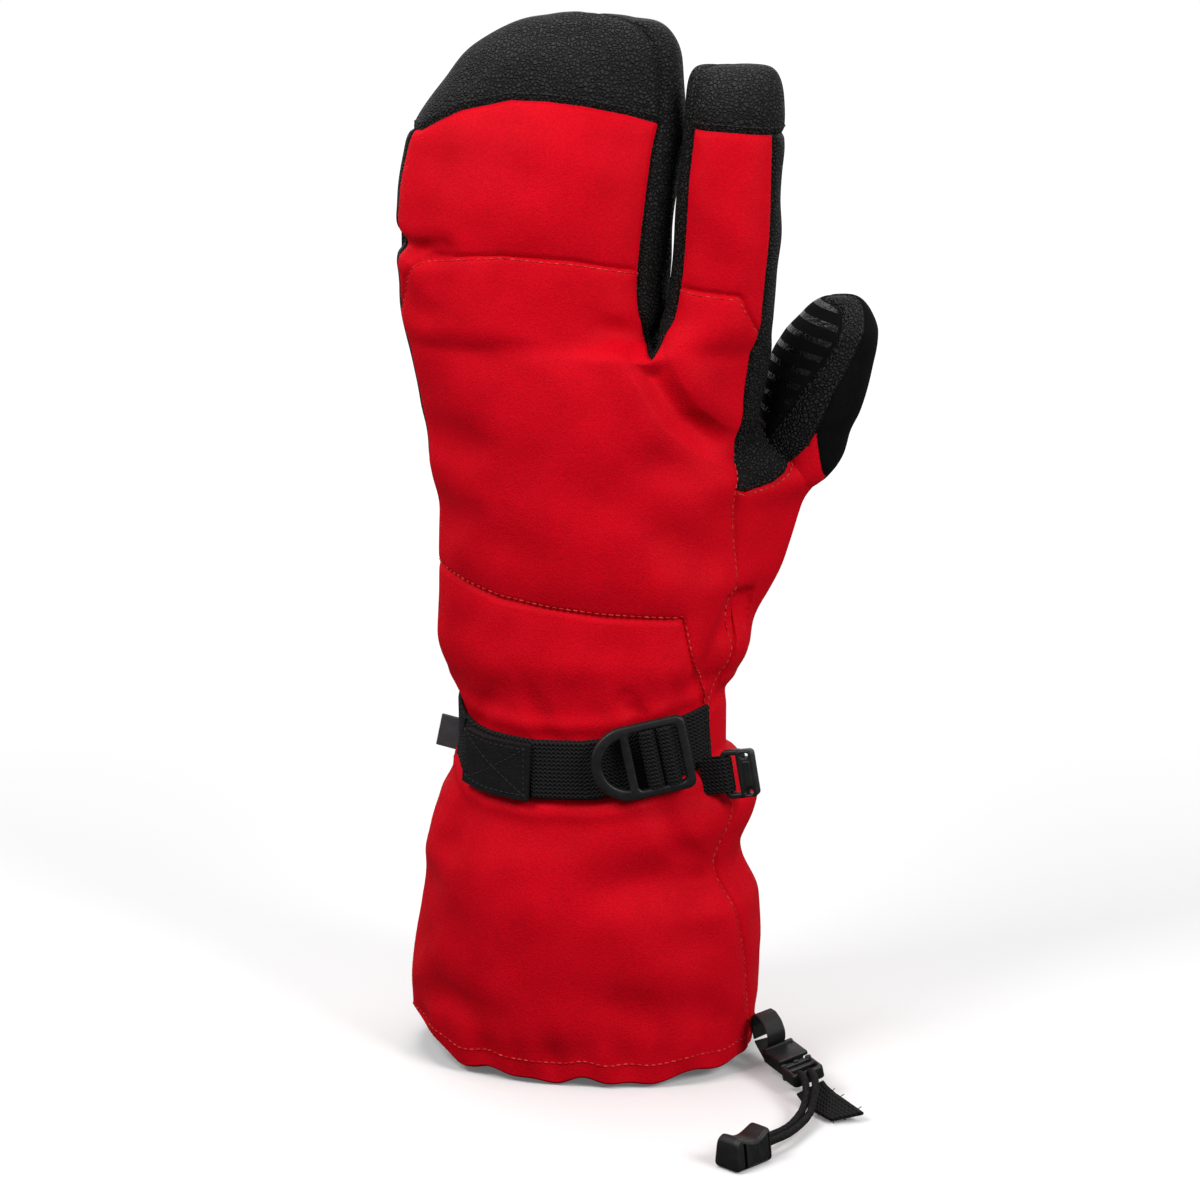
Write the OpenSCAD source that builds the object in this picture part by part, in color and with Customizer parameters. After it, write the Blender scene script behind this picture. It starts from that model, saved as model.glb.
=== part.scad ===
// Insulated three-compartment ski mitten for the left hand, with a long gauntlet.
// +Z runs from the hem to the finger tips, the back of the hand faces -Y, the thumb is at +X.
// The origin is the middle of the hem, on the surface that the mitten stands on.

/* [Overall] */
// Height from the hem to the tip of the three-finger compartment
mitten_h = 350; // [320:1:430]
// Height of the tip of the index stall
index_tip_z = 334; // [320:1:345]
// Widest part of the gauntlet, side to side
gauntlet_w = 121; // [100:1:148]
// Gauntlet, front to back
gauntlet_d = 87; // [76:1:100]
// Waist under the strap, side to side
wrist_w = 86.5; // [82:0.5:96]
// Waist under the strap, front to back
wrist_d = 66; // [58:1:70]
// Hand at the knuckles, side to side
knuckle_w = 121.6; // [118:1:126]
// Hand at the knuckles, front to back
knuckle_d = 58; // [54:1:64]

/* [Levels] */
// Height of the turned hem
hem_h = 12; // [9:1:16]
// Middle of the wrist strap
strap_z = 108; // [104:1:112]
// Top of the gauntlet, where the hand panels start
waist_top_z = 119; // [118:1:122]
// Foot of the thumb stall
thumb_z = 205; // [200:1:208]
// Foot of the finger slit, at the knuckles
knuckle_z = 243; // [240:1:246]
// Height of the soft zone that bends at the knuckles
flex_h = 25; // [24:1:27]
// Seam of the leather finger caps
cap_z = 319; // [314:1:322]

/* [Thumb] */
// Height of the soft zone at the thumb's foot
thumb_flex_h = 14; // [13:1:15]
// Height of the thumb's tip
thumb_tip_z = 258; // [254:1:264]
// Direction of the thumb round the hand, from +X towards the palm
thumb_dir = 18; // [16:1:20]
// How far the thenar bulges out at the thumb's foot
thenar_out = 30; // [28:1:31]

/* [Layers] */
// Softshell and leather
skin_t = 1.2; // [0.9:0.1:1.5]
// Waterproof membrane bag
membrane_t = 0.5; // [0.4:0.1:0.6]
// Insulation batting
batting_t = 4.5; // [3.5:0.1:5.4]
// Fleece lining
lining_t = 1.5; // [1.2:0.1:1.8]
// Air left between two layers, and at every sewn edge
ply_gap = 0.3; // [0.25:0.05:0.35]

/* [Strap and buckle] */
// Width of the wrist webbing
webbing_w = 20; // [16:1:24]
// Thickness of the wrist webbing
webbing_t = 1.5; // [1.2:0.1:1.8]
// Rise of the waist and its strap towards the thumb side, per millimetre across
strap_rise = 0.085; // [0.05:0.005:0.1]
// Buckle, along the strap
buckle_l = 33; // [31:1:36]
// Thickness of the buckle
buckle_t = 3; // [2.8:0.1:3.4]
// Radius of the buckle's two round bars
bar_r = 1.2; // [1:0.1:1.3]

/* [Leash clip] */
// Width of the leash webbing
leash_w = 14; // [12:1:16]
// Radius of the hook's pivot bar
hook_pin_r = 1.1; // [0.9:0.1:1.3]

/* [Hem adjuster] */
// Plate of the adjuster housing, along the pull
housing_l = 16.5; // [16:0.5:19]
// Plate of the adjuster housing, across
housing_w = 11; // [10:0.5:13]
// Travel of the insert out of the housing
insert_travel = 9; // [7:1:9]
// Elastic cord
cord_d = 2.5; // [2:0.1:3]
// Cord pull, along the cords
pull_l = 15.5; // [14:0.5:18]
// Cord pull, height
pull_h = 11; // [9:0.5:13]

/* [Hidden] */
// Columns round each form
BODY_COLS = 32;
CUFF_COLS = 24;
MITT_COLS = 20;
STALL_COLS = 16;
// Squareness of the superellipse cross-sections: 2 is an ellipse
squareness = 2.3;

// Depths of the layers under the outer surface
skin_in = skin_t;
membrane_out = skin_in + ply_gap;
membrane_in = membrane_out + membrane_t;
batting_out = membrane_in + ply_gap;
batting_in = batting_out + batting_t;
lining_out = batting_in + ply_gap;
lining_in = lining_out + lining_t;

// The thenar rises over this half angle, and fades to nothing at the waist
thenar_span = 26;
thenar_h = thumb_z - waist_top_z;

// Sections: height, centre x, centre y, half width, half depth, rise per millimetre, thenar bulge
cuff_sections = [
    [0, -0.8, 0, gauntlet_w / 2 - 0.5, gauntlet_d / 2, 0, 0],
    [hem_h, -0.8, 0, gauntlet_w / 2 - 0.5, gauntlet_d / 2, 0, 0],
    [hem_h + 13, -0.8, 0, gauntlet_w / 2, gauntlet_d / 2 - 0.5, 0, 0],
    [strap_z - 53, 1.1, 0, gauntlet_w / 2 - 2, gauntlet_d / 2 - 2, 0.01, 0],
    [strap_z - 38, 1.6, 0, (gauntlet_w * 0.65 + wrist_w * 0.35) / 2, (gauntlet_d * 0.65 + wrist_d * 0.35) / 2, 0.03, 0],
    [strap_z - 24, 2, 0, (gauntlet_w * 0.4 + wrist_w * 0.6) / 2 - 1, (gauntlet_d * 0.4 + wrist_d * 0.6) / 2, 0.05, 0],
    [strap_z - 11, 2.3, 0, wrist_w / 2 + 0.5, wrist_d / 2 + 0.5, strap_rise, 0],
    [strap_z, 2.3, 0, wrist_w / 2, wrist_d / 2, strap_rise, 0],
    [waist_top_z, 2.5, 0, wrist_w / 2 + 0.3, wrist_d / 2 + 0.3, strap_rise, 0]
];
hand_sections = [
    [waist_top_z, 2.5, 0, wrist_w / 2 + 0.3, wrist_d / 2 + 0.3, strap_rise, 0],
    [waist_top_z + thenar_h * 0.15, 2.5, 0, wrist_w / 2 + 3, wrist_d / 2, 0.05, 1],
    [waist_top_z + thenar_h * 0.31, 2.5, 0, wrist_w / 2 + 7.7, wrist_d / 2 - 0.5, 0, 2],
    [waist_top_z + thenar_h * 0.48, 3, 0, wrist_w / 2 + 8.5, wrist_d / 2 - 1, 0, 8.5],
    [waist_top_z + thenar_h * 0.66, 2.7, 0, knuckle_w / 2 - 7.9, knuckle_d / 2 + 2.6, 0, 14.3],
    [waist_top_z + thenar_h * 0.83, 2.5, 0, knuckle_w / 2 - 6.8, knuckle_d / 2 + 2.3, 0, 19.3],
    [thumb_z, 2.2, 0, knuckle_w / 2 - 5.8, knuckle_d / 2 + 2, 0, thenar_out],
    [thumb_z + ply_gap, 2.2, 0, knuckle_w / 2 - 5.8, knuckle_d / 2 + 2, 0, 0],
    [(thumb_z + knuckle_z) / 2, 1.8, 0, knuckle_w / 2 - 3.3, knuckle_d / 2 + 1, 0, 0],
    [knuckle_z, 1.3, 0, knuckle_w / 2, knuckle_d / 2, 0, 0]
];

// The finger forms: above dome_z the sections shrink towards a flat tip
mitt_dome_z = cap_z - 11;
mitt_dome_h = mitten_h - mitt_dome_z;
bend_z = knuckle_z + flex_h;
mitt_sections = [
    [knuckle_z, -19, 0, knuckle_w / 2 - 20.3, knuckle_d / 2, 0, 0],
    [knuckle_z + flex_h / 2, -19.1, 0, knuckle_w / 2 - 18.7, knuckle_d / 2 - 1, 0, 0],
    [bend_z, -18.5, 0, knuckle_w / 2 - 16.6, knuckle_d / 2 - 2, 0, 0],
    [(bend_z + mitt_dome_z) / 2, -16.9, 0, knuckle_w / 2 - 15.7, knuckle_d / 2 - 3.6, 0, 0],
    [mitt_dome_z, -14.5, 0, knuckle_w / 2 - 15.3, knuckle_d / 2 - 6.5, 0, 0],
    [mitt_dome_z + mitt_dome_h * 0.26, -10.8, 0, 43.2, 20, 0, 0],
    [mitt_dome_z + mitt_dome_h * 0.48, -7.5, 0, 39.5, 17.2, 0, 0],
    [mitt_dome_z + mitt_dome_h * 0.67, -5.8, 0, 36.2, 14.3, 0, 0],
    [mitt_dome_z + mitt_dome_h * 0.82, -2.8, 0, 30.2, 11, 0, 0],
    [mitt_dome_z + mitt_dome_h * 0.94, 0, 0, 22, 7.5, 0, 0],
    [mitten_h, 1, 0, 11, 4, 0, 0]
];
index_dome_z = cap_z - 11;
index_dome_h = index_tip_z - index_dome_z;
index_sections = [
    [knuckle_z, 43.8, -4, 18.2, 18.5, 0, 0],
    [knuckle_z + flex_h / 2, 45.2, -4, 17.8, 18.5, 0, 0],
    [bend_z, 46.5, -4, 17.5, 18, 0, 0],
    [(bend_z + index_dome_z) / 2, 48.2, -4, 16.8, 17, 0, 0],
    [index_dome_z, 49.7, -4, 16, 15.5, 0, 0],
    [index_dome_z + index_dome_h * 0.4, 50, -4, 15.2, 14.2, 0, 0],
    [index_dome_z + index_dome_h * 0.65, 49.8, -4, 13.8, 12, 0, 0],
    [index_dome_z + index_dome_h * 0.85, 49.5, -4, 11.5, 9, 0, 0],
    [index_tip_z, 49.5, -4, 7.5, 5, 0, 0]
];
thumb_dome_z = thumb_tip_z - 21;
thumb_cap_z = thumb_tip_z - 13;
thumb_sections = [
    [thumb_z, 68.5, 24, 15.5, 16.5, 0, 0],
    [thumb_z + thumb_flex_h / 2, 69.5, 24.2, 16, 17, 0, 0],
    [thumb_z + thumb_flex_h, 71.2, 24.6, 16.7, 17.5, 0, 0],
    [thumb_z + thumb_flex_h + 10, 73.3, 25.1, 17.4, 17.5, 0, 0],
    [thumb_dome_z, 75.2, 25.6, 17.2, 16.8, 0, 0],
    [thumb_cap_z, 77.8, 26, 15.5, 15.3, 0, 0],
    [thumb_tip_z - 7, 79.6, 26, 11.6, 11.5, 0, 0],
    [thumb_tip_z - 2.5, 80.6, 26, 7.5, 7.5, 0, 0],
    [thumb_tip_z, 81, 26, 3.6, 3.6, 0, 0]
];

// ---- Forms built from sections ----

function section(table, z) = [for (k = [0:6]) lookup(z, [for (s = table) [s[0], s[k]]])];
function signed_pow(v, p) = sign(v) * pow(abs(v), p);
function heights(table, z0, z1) =
    concat([z0], [for (s = table) if (s[0] > z0 + 0.5 && s[0] < z1 - 0.5) s[0]], [z1]);
function thenar(angle, amount) =
    let (away = abs(angle - thumb_dir))
    away < thenar_span ? amount * pow(cos(90 * away / thenar_span), 2) : 0;

// A point of a form at height z, the given depth under its surface
function form_point(table, z, depth, angle, dome_z) =
    let (
        s = section(table, z),
        top = table[len(table) - 1][0],
        in_dome = z > dome_z,
        base = section(table, dome_z),
        share = in_dome ? (z - dome_z) / (top - dome_z) : 0,
        half_w = in_dome ? (base[3] - depth) * s[3] / base[3] : s[3] - depth,
        half_d = in_dome ? (base[4] - depth) * s[4] / base[4] : s[4] - depth,
        out = thenar(angle, s[6]),
        x = s[1] + half_w * signed_pow(cos(angle), 2 / squareness) + out * cos(angle),
        y = s[2] + half_d * signed_pow(sin(angle), 2 / squareness) + out * sin(angle)
    )
    [x, y, (in_dome ? z - depth * share : z) + s[5] * (x - s[1])];

// A wall between two depths, from column c0 to column c1. It is closed round when they are a turn
// apart, and closed at its tip when tip is true.
module wall(table, zs, depth_out, depth_in, cols, c0 = 0, c1 = 0, dome_z = 1000, tip = false) {
    turn = c1 == c0;
    n = turn ? cols : c1 - c0 + 1;
    m = len(zs);
    steps = turn ? n : n - 1;
    function angle(j) = let (a = (c0 + j) * 360 / cols) a > 180 ? a - 360 : a;
    function at(i, j) = i * n + j % n;
    outer = [for (z = zs, j = [0:n - 1]) form_point(table, z, depth_out, angle(j), dome_z)];
    inner = [for (z = zs, j = [0:n - 1]) form_point(table, z, depth_in, angle(j), dome_z)];
    q = m * n;
    sides = [for (i = [0:m - 2], j = [0:steps - 1]) each [
        [at(i, j), at(i + 1, j), at(i + 1, j + 1)],
        [at(i, j), at(i + 1, j + 1), at(i, j + 1)],
        [q + at(i, j), q + at(i + 1, j + 1), q + at(i + 1, j)],
        [q + at(i, j), q + at(i, j + 1), q + at(i + 1, j + 1)]
    ]];
    bottom = [for (j = [0:steps - 1]) each [
        [at(0, j), at(0, j + 1), q + at(0, j + 1)],
        [at(0, j), q + at(0, j + 1), q + at(0, j)]
    ]];
    last = m - 1;
    top = tip
        ? [[for (j = [n - 1:-1:0]) at(last, j)], [for (j = [0:n - 1]) q + at(last, j)]]
        : [for (j = [0:steps - 1]) each [
            [at(last, j), q + at(last, j + 1), at(last, j + 1)],
            [at(last, j), q + at(last, j), q + at(last, j + 1)]
        ]];
    ends = turn ? [] : [for (i = [0:m - 2]) each [
        [q + at(i, 0), q + at(i + 1, 0), at(i + 1, 0)],
        [q + at(i, 0), at(i + 1, 0), at(i, 0)],
        [q + at(i, n - 1), at(i + 1, n - 1), q + at(i + 1, n - 1)],
        [q + at(i, n - 1), at(i, n - 1), at(i + 1, n - 1)]
    ]];
    polyhedron(points = concat(outer, inner), faces = concat(sides, bottom, top, ends));
}

// Height ranges of the forms, each a ply_gap clear of the next
cuff_zs = heights(cuff_sections, hem_h + ply_gap, waist_top_z);
lower_hand_zs = heights(hand_sections, waist_top_z + ply_gap, thumb_z);
upper_hand_zs = heights(hand_sections, thumb_z + ply_gap, knuckle_z);
mitt_flex_zs = heights(mitt_sections, knuckle_z + ply_gap, bend_z - ply_gap);
index_flex_zs = heights(index_sections, knuckle_z + ply_gap, bend_z - ply_gap);
thumb_flex_zs = heights(thumb_sections, thumb_z + ply_gap, thumb_z + thumb_flex_h - ply_gap);

module cuff_wall(d0, d1, c0 = 0, c1 = 0, zs = cuff_zs) {
    wall(cuff_sections, zs, d0, d1, CUFF_COLS, c0, c1);
}
module lower_hand_wall(d0, d1, c0 = 0, c1 = 0, zs = lower_hand_zs) {
    wall(hand_sections, zs, d0, d1, BODY_COLS, c0, c1);
}
module upper_hand_wall(d0, d1, c0 = 0, c1 = 0) {
    wall(hand_sections, upper_hand_zs, d0, d1, BODY_COLS, c0, c1);
}
module hand_wall(d0, d1, c0 = 0, c1 = 0) {
    lower_hand_wall(d0, d1, c0, c1);
    upper_hand_wall(d0, d1, c0, c1);
}
module mitt_wall(z0, z1, d0, d1, c0 = 0, c1 = 0, tip = false) {
    zs = heights(mitt_sections, z0, z1);
    wall(mitt_sections, zs, d0, d1, MITT_COLS, c0, c1, mitt_dome_z, tip);
}
module index_wall(z0, z1, d0, d1, c0 = 0, c1 = 0, tip = false) {
    zs = heights(index_sections, z0, z1);
    wall(index_sections, zs, d0, d1, STALL_COLS, c0, c1, index_dome_z, tip);
}
module thumb_wall(z0, z1, d0, d1, c0 = 0, c1 = 0, tip = false) {
    zs = heights(thumb_sections, z0, z1);
    wall(thumb_sections, zs, d0, d1, STALL_COLS, c0, c1, thumb_dome_z, tip);
}
cap_top = cap_z - ply_gap;
thumb_wall_z = thumb_z + thumb_flex_h;

// ---- Gauntlet ----

function hem_outline(depth) = [for (j = [0:CUFF_COLS - 1])
    let (p = form_point(cuff_sections, hem_h, depth, j * 360 / CUFF_COLS, 1000)) [p[0], p[1]]];
module hem_ring(z, h, depth_out, depth_in) {
    translate([0, 0, z])
        linear_extrude(h)
            difference() {
                polygon(hem_outline(depth_out));
                polygon(hem_outline(depth_in));
            }
}
// The hem is turned up inside into a channel: outer ply, bottom fold, inner ply
hem_channel = 3.6;
hem_depth = 2 * skin_t + hem_channel;
module gauntlet_hem() {
    color("firebrick") {
        difference() {
            hem_ring(0, hem_h, 0, hem_depth);
            hem_ring(skin_t, hem_h, skin_t, skin_t + hem_channel);
        }
    }
}
module hem_drawcord() {
    side = (hem_channel - cord_d) / 2;
    color("black") hem_ring(skin_t + ply_gap, cord_d, skin_t + side, skin_t + side + cord_d);
}
module gauntlet_back_panel() color("red") cuff_wall(0, skin_in, 12, 24);
module gauntlet_palm_panel() color("red") cuff_wall(0, skin_in, 0, 12);
module gauntlet_insulation() color("gainsboro") cuff_wall(batting_out, batting_in);
module gauntlet_lining() color("dimgray") cuff_wall(lining_out, lining_in);
elastic_h = 20;
module wrist_elastic() {
    zs = heights(cuff_sections, strap_z - elastic_h / 2, strap_z + elastic_h / 2);
    color("whitesmoke") cuff_wall(membrane_out, membrane_in, zs = zs);
}

// ---- Hand ----

module hand_back_panel() color("red") hand_wall(0, skin_in, 17, 31);
module hand_palm_panel() color("black") hand_wall(0, skin_in, 4, 17);
module thumb_side_panel() color("red") lower_hand_wall(0, skin_in, 31, 36);
module thumb_crotch_panel() color("black") upper_hand_wall(0, skin_in, 31, 36);
module palm_reinforcement() {
    zs = heights(hand_sections, waist_top_z + thenar_h * 0.31, thumb_z - 12);
    color("dimgray") lower_hand_wall(-skin_t - ply_gap, -ply_gap, 6, 14, zs);
}
module hand_membrane() color("lightgray") hand_wall(membrane_out, membrane_in);
module hand_insulation() color("gainsboro") hand_wall(batting_out, batting_in);
module hand_lining() color("dimgray") hand_wall(lining_out, lining_in);
// The crotch piece closes the hand round the foot of the slit, between the two finger openings
fork_x = [-2, 46];
fork_h = 3;
module inner_outline(table, z, depth) {
    polygon([for (i = [0:BODY_COLS - 1]) let (
        p = form_point(table, z, depth, 360 * i / BODY_COLS, 1000)
    ) [p[0], p[1]]]);
}
module finger_fork() {
    color("black")
        translate([0, 0, knuckle_z - fork_h])
            linear_extrude(fork_h)
                difference() {
                    intersection() {
                        inner_outline(hand_sections, knuckle_z - fork_h, lining_in + ply_gap);
                        translate([fork_x[0], -knuckle_d]) square([fork_x[1] - fork_x[0], 2 * knuckle_d]);
                    }
                    inner_outline(mitt_sections, knuckle_z, lining_in);
                    inner_outline(index_sections, knuckle_z, lining_in);
                }
}

// ---- Soft zones that bend ----

module mitt_knuckle_zone() {
    color("red") wall(mitt_sections, mitt_flex_zs, 0, lining_in, MITT_COLS);
}
module index_knuckle_zone() {
    color("red") wall(index_sections, index_flex_zs, 0, lining_in, STALL_COLS);
}
module thumb_base_zone() {
    color("black") wall(thumb_sections, thumb_flex_zs, 0, lining_in, STALL_COLS);
}

// ---- Three-finger compartment ----

module mitt_back_panel() color("red") mitt_wall(bend_z, cap_top, 0, skin_in, 11, 18);
module mitt_gusset() color("black") mitt_wall(bend_z, cap_top, 0, skin_in, 18, 22);
module mitt_palm_panel() color("black") mitt_wall(bend_z, cap_top, 0, skin_in, 2, 11);
module mitt_cap() color("black") mitt_wall(cap_z, mitten_h, 0, skin_in, tip = true);
module mitt_membrane() {
    color("lightgray") mitt_wall(bend_z, mitten_h, membrane_out, membrane_in, tip = true);
}
module mitt_insulation() {
    color("gainsboro") mitt_wall(bend_z, mitten_h, batting_out, batting_in, tip = true);
}
module mitt_lining() {
    color("dimgray") mitt_wall(bend_z, mitten_h, lining_out, lining_in, tip = true);
}

// ---- Index stall ----

module index_back_panel() color("red") index_wall(bend_z, cap_top, 0, skin_in, 10, 15);
module index_gusset() color("black") index_wall(bend_z, cap_top, 0, skin_in, 6, 10);
module index_palm_panel() color("black") index_wall(bend_z, cap_top, 0, skin_in, 15, 22);
module index_cap() color("black") index_wall(cap_z, index_tip_z, 0, skin_in, tip = true);
module index_membrane() {
    color("lightgray") index_wall(bend_z, index_tip_z, membrane_out, membrane_in, tip = true);
}
module index_insulation() {
    color("gainsboro") index_wall(bend_z, index_tip_z, batting_out, batting_in, tip = true);
}
module index_lining() {
    color("dimgray") index_wall(bend_z, index_tip_z, lining_out, lining_in, tip = true);
}

// ---- Thumb stall ----

grip_bars = 7;
grip_bar_h = 2;
module thumb_grip_panel() {
    color("black") thumb_wall(thumb_wall_z, thumb_cap_z - ply_gap, 0, skin_in, 8, 13);
}
module thumb_grip_bars() {
    pitch = (thumb_cap_z - thumb_wall_z - 2) / grip_bars;
    color("dimgray")
        for (k = [0:grip_bars - 1])
            let (z = thumb_wall_z + 1 + k * pitch)
                wall(thumb_sections, [z, z + grip_bar_h], -1, -0.2, STALL_COLS, 9, 12, thumb_dome_z);
}
module thumb_rim() {
    color("black") {
        thumb_wall(thumb_wall_z, thumb_cap_z - ply_gap, 0, skin_in, 13, 15);
        thumb_wall(thumb_cap_z, thumb_tip_z, 0, skin_in, tip = true);
    }
}
module thumb_back_panel() {
    color("black") thumb_wall(thumb_wall_z, thumb_cap_z - ply_gap, 0, skin_in, 15, 24);
}
module thumb_membrane() {
    color("lightgray") thumb_wall(thumb_wall_z, thumb_tip_z, membrane_out, membrane_in, tip = true);
}
module thumb_insulation() {
    color("gainsboro") thumb_wall(thumb_wall_z, thumb_tip_z, batting_out, batting_in, tip = true);
}
module thumb_lining() {
    color("dimgray") thumb_wall(thumb_wall_z, thumb_tip_z, lining_out, lining_in, tip = true);
}

// ---- Wrist strap ----

strap_out = ply_gap + webbing_t;
// A strap wider than the waist follows the hand's foot above it
strap_sections = concat(cuff_sections, [for (s = hand_sections) if (s[0] > waist_top_z + 0.5) s]);
module wrist_strap() {
    zs = heights(strap_sections, strap_z - webbing_w / 2, strap_z + webbing_w / 2);
    color("black") wall(strap_sections, zs, -strap_out, -ply_gap, CUFF_COLS, 11, 23);
}
// The strap's tail lies over the strap on a round path, so that it slides as it is pulled
tail_centre = [3.2, 35];
tail_r = tail_centre[1] + wrist_d / 2 + strap_out + 1.25;
tab_folds = 2;
module tail_arc(x0, x1, r_in, thick, width, rise) {
    a0 = -90 + asin((x0 - tail_centre[0]) / r_in);
    a1 = -90 + asin((x1 - tail_centre[0]) / r_in);
    translate([tail_centre[0], tail_centre[1], strap_z + rise])
        rotate([0, 0, a0])
            rotate_extrude(angle = a1 - a0, $fn = 96)
                translate([r_in, -width / 2]) square([thick, width]);
}
tab_x = [-31, -9.5];
module strap_tail() {
    color("black") tail_arc(tab_x[1] + ply_gap, buckle_x - 5.8, tail_r, webbing_t, webbing_w - 1, 0.6);
}
module strap_end_tab() {
    color("black")
        tail_arc(tab_x[0], tab_x[1], tail_r, tab_folds * webbing_t, webbing_w - 1, -0.6);
}

// ---- Ladder-lock buckle ----

// Its frame: x along the strap from the D-shaped end, y across, z outwards
buckle_turn = 17;
buckle_tilt = 12;
buckle_h = webbing_w + 5;
buckle_x = 26;
buckle_y = -(wrist_d / 2 + strap_out - 0.6);
rim = 3;
corner_cut = 2;
window_h = webbing_w + 1;
d_window = [3.4, 11];
big_window = [14, buckle_l - rim];
wrap_clear = 0.05;
// The webbing goes round both bars, side by side
bar_pitch = 2 * (bar_r + wrap_clear + webbing_t) + ply_gap;
bar_x = [20, 20 + bar_pitch];
module at_buckle() {
    translate([buckle_x, buckle_y, strap_z + 4])
        rotate([0, 0, buckle_turn])
            rotate([90, 0, 0])
                rotate([0, 0, buckle_tilt])
                    translate([-buckle_l / 2, 0, 0])
                        children();
}
module buckle_plate() {
    round_r = buckle_h / 2;
    translate([round_r, 0]) circle(round_r, $fn = 96);
    translate([round_r, -buckle_h / 2]) square([buckle_l - round_r - corner_cut, buckle_h]);
    translate([round_r, -buckle_h / 2 + corner_cut])
        square([buckle_l - round_r, buckle_h - 2 * corner_cut]);
}
module buckle_windows() {
    intersection() {
        translate([buckle_h / 2, 0]) circle(buckle_h / 2 - d_window[0], $fn = 96);
        translate([0, -window_h / 2]) square([d_window[1], window_h]);
    }
    translate([big_window[0], -window_h / 2]) square([big_window[1] - big_window[0], window_h]);
}
module ladder_lock() {
    color([0.12, 0.12, 0.13])
        at_buckle() {
            linear_extrude(buckle_t)
                difference() {
                    buckle_plate();
                    buckle_windows();
                }
            for (x = bar_x)
                translate([x, window_h / 2 + 0.5, buckle_t / 2])
                    rotate([90, 0, 0])
                        cylinder(r = bar_r, h = window_h + 1, $fn = 48);
        }
}
module strap_wrap() {
    color("black")
        at_buckle()
            for (x = bar_x)
                translate([x, 0, buckle_t / 2])
                    rotate([90, 0, 0])
                        linear_extrude(window_h - 1, center = true)
                            difference() {
                                circle(bar_r + wrap_clear + webbing_t, $fn = 48);
                                circle(bar_r + wrap_clear, $fn = 48);
                            }
}

// ---- Leash tab and clip, at the thumb side ----

// The clip's frame of reference: x outwards, z up, at the foot of the tab on the cuff's side seam
leash_y = -20;
leash_z = 100;
leash_turn = -8;
leash_tilt = -10;
leash_root = form_point(cuff_sections, leash_z, -strap_out - ply_gap, atan2(leash_y, wrist_w / 2), 1000);
tab_l = 6;
tab_t = 1.1;
frame_t = 3;
frame_rim = 1.8;
frame_l = 8;
module at_leash() {
    translate([leash_root[0] + 1.1, leash_y, leash_z])
        rotate([0, 0, leash_turn])
            rotate([0, leash_tilt, 0])
                children();
}
frame_bar_x = tab_l + frame_rim / 2;
module leash_tab() {
    color("black")
        at_leash() {
            difference() {
                union() {
                    translate([-1, -frame_t / 2 - tab_t, -leash_w / 2])
                        cube([frame_bar_x + 1, frame_t + 2 * tab_t, leash_w]);
                    translate([frame_bar_x, 0, -leash_w / 2])
                        cylinder(r = frame_t / 2 + tab_t, h = leash_w, $fn = 48);
                }
                translate([2, -frame_t / 2, -leash_w])
                    cube([frame_bar_x - 2, frame_t, 2 * leash_w]);
                translate([frame_bar_x, 0, -leash_w])
                    cylinder(r = frame_t / 2, h = 2 * leash_w, $fn = 48);
            }
        }
}
frame_h = leash_w + 2 * frame_rim + 1.2;
module leash_frame() {
    color([0.12, 0.12, 0.13])
        at_leash() {
            for (side = [-1, 1])
                translate([frame_bar_x - frame_rim / 2, -frame_t / 2,
                           side * (frame_h - frame_rim) / 2 - frame_rim / 2])
                    cube([frame_l, frame_t, frame_rim]);
            translate([frame_bar_x, 0, -frame_h / 2])
                cylinder(r = frame_rim / 2, h = frame_h, $fn = 48);
            translate([frame_bar_x + frame_l - frame_rim, 0, -frame_h / 2])
                cylinder(r = hook_pin_r, h = frame_h, $fn = 48);
        }
}
// The hook's knuckle turns on the frame's outer bar, and its loop reaches past it
hook_x = frame_bar_x + frame_l - frame_rim;
hook_l = 5;
hook_wall = 1.1;
hook_knuckle_h = leash_w - 2;
pin_clear = 0.05;
module leash_hook() {
    reach = hook_pin_r + pin_clear;
    color([0.12, 0.12, 0.13])
        at_leash()
            translate([hook_x, 0, 0]) {
                difference() {
                    union() {
                        cylinder(r = reach + hook_wall, h = hook_knuckle_h, center = true, $fn = 48);
                        translate([0, -hook_wall, -hook_knuckle_h / 2])
                            cube([hook_l - hook_wall, 2 * hook_wall, hook_knuckle_h]);
                        translate([frame_rim / 2 + 1.6, -hook_wall, -frame_h / 2])
                            cube([hook_l - frame_rim / 2 - 1.6, 2 * hook_wall, frame_h]);
                    }
                    cylinder(r = reach, h = 2 * frame_h, center = true, $fn = 48);
                    translate([reach + hook_wall + 0.2, -frame_t, -frame_h / 2 + hook_wall])
                        cube([hook_l - reach - 2 * hook_wall - 0.2, 2 * frame_t, 3]);
                    translate([reach + hook_wall + 0.2, -frame_t, frame_h / 2 - hook_wall - 3])
                        cube([hook_l - reach - 2 * hook_wall - 0.2, 2 * frame_t, 3]);
                }
            }
}

// ---- Side label, at the little-finger side ----

label_l = 6.5;
label_h = 12;
module side_label() {
    root = form_point(cuff_sections, strap_z + 7, -strap_out, 180, 1000);
    color("gray")
        translate([root[0] - label_l, 0.5, strap_z - 5])
            cube([label_l, 1, label_h]);
}

// ---- Hem adjuster ----

// Swept strips and cords
function unit(v) = v / norm(v);
function tangent(path, i) =
    unit(path[min(i + 1, len(path) - 1)] - path[max(i - 1, 0)]);
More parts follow.
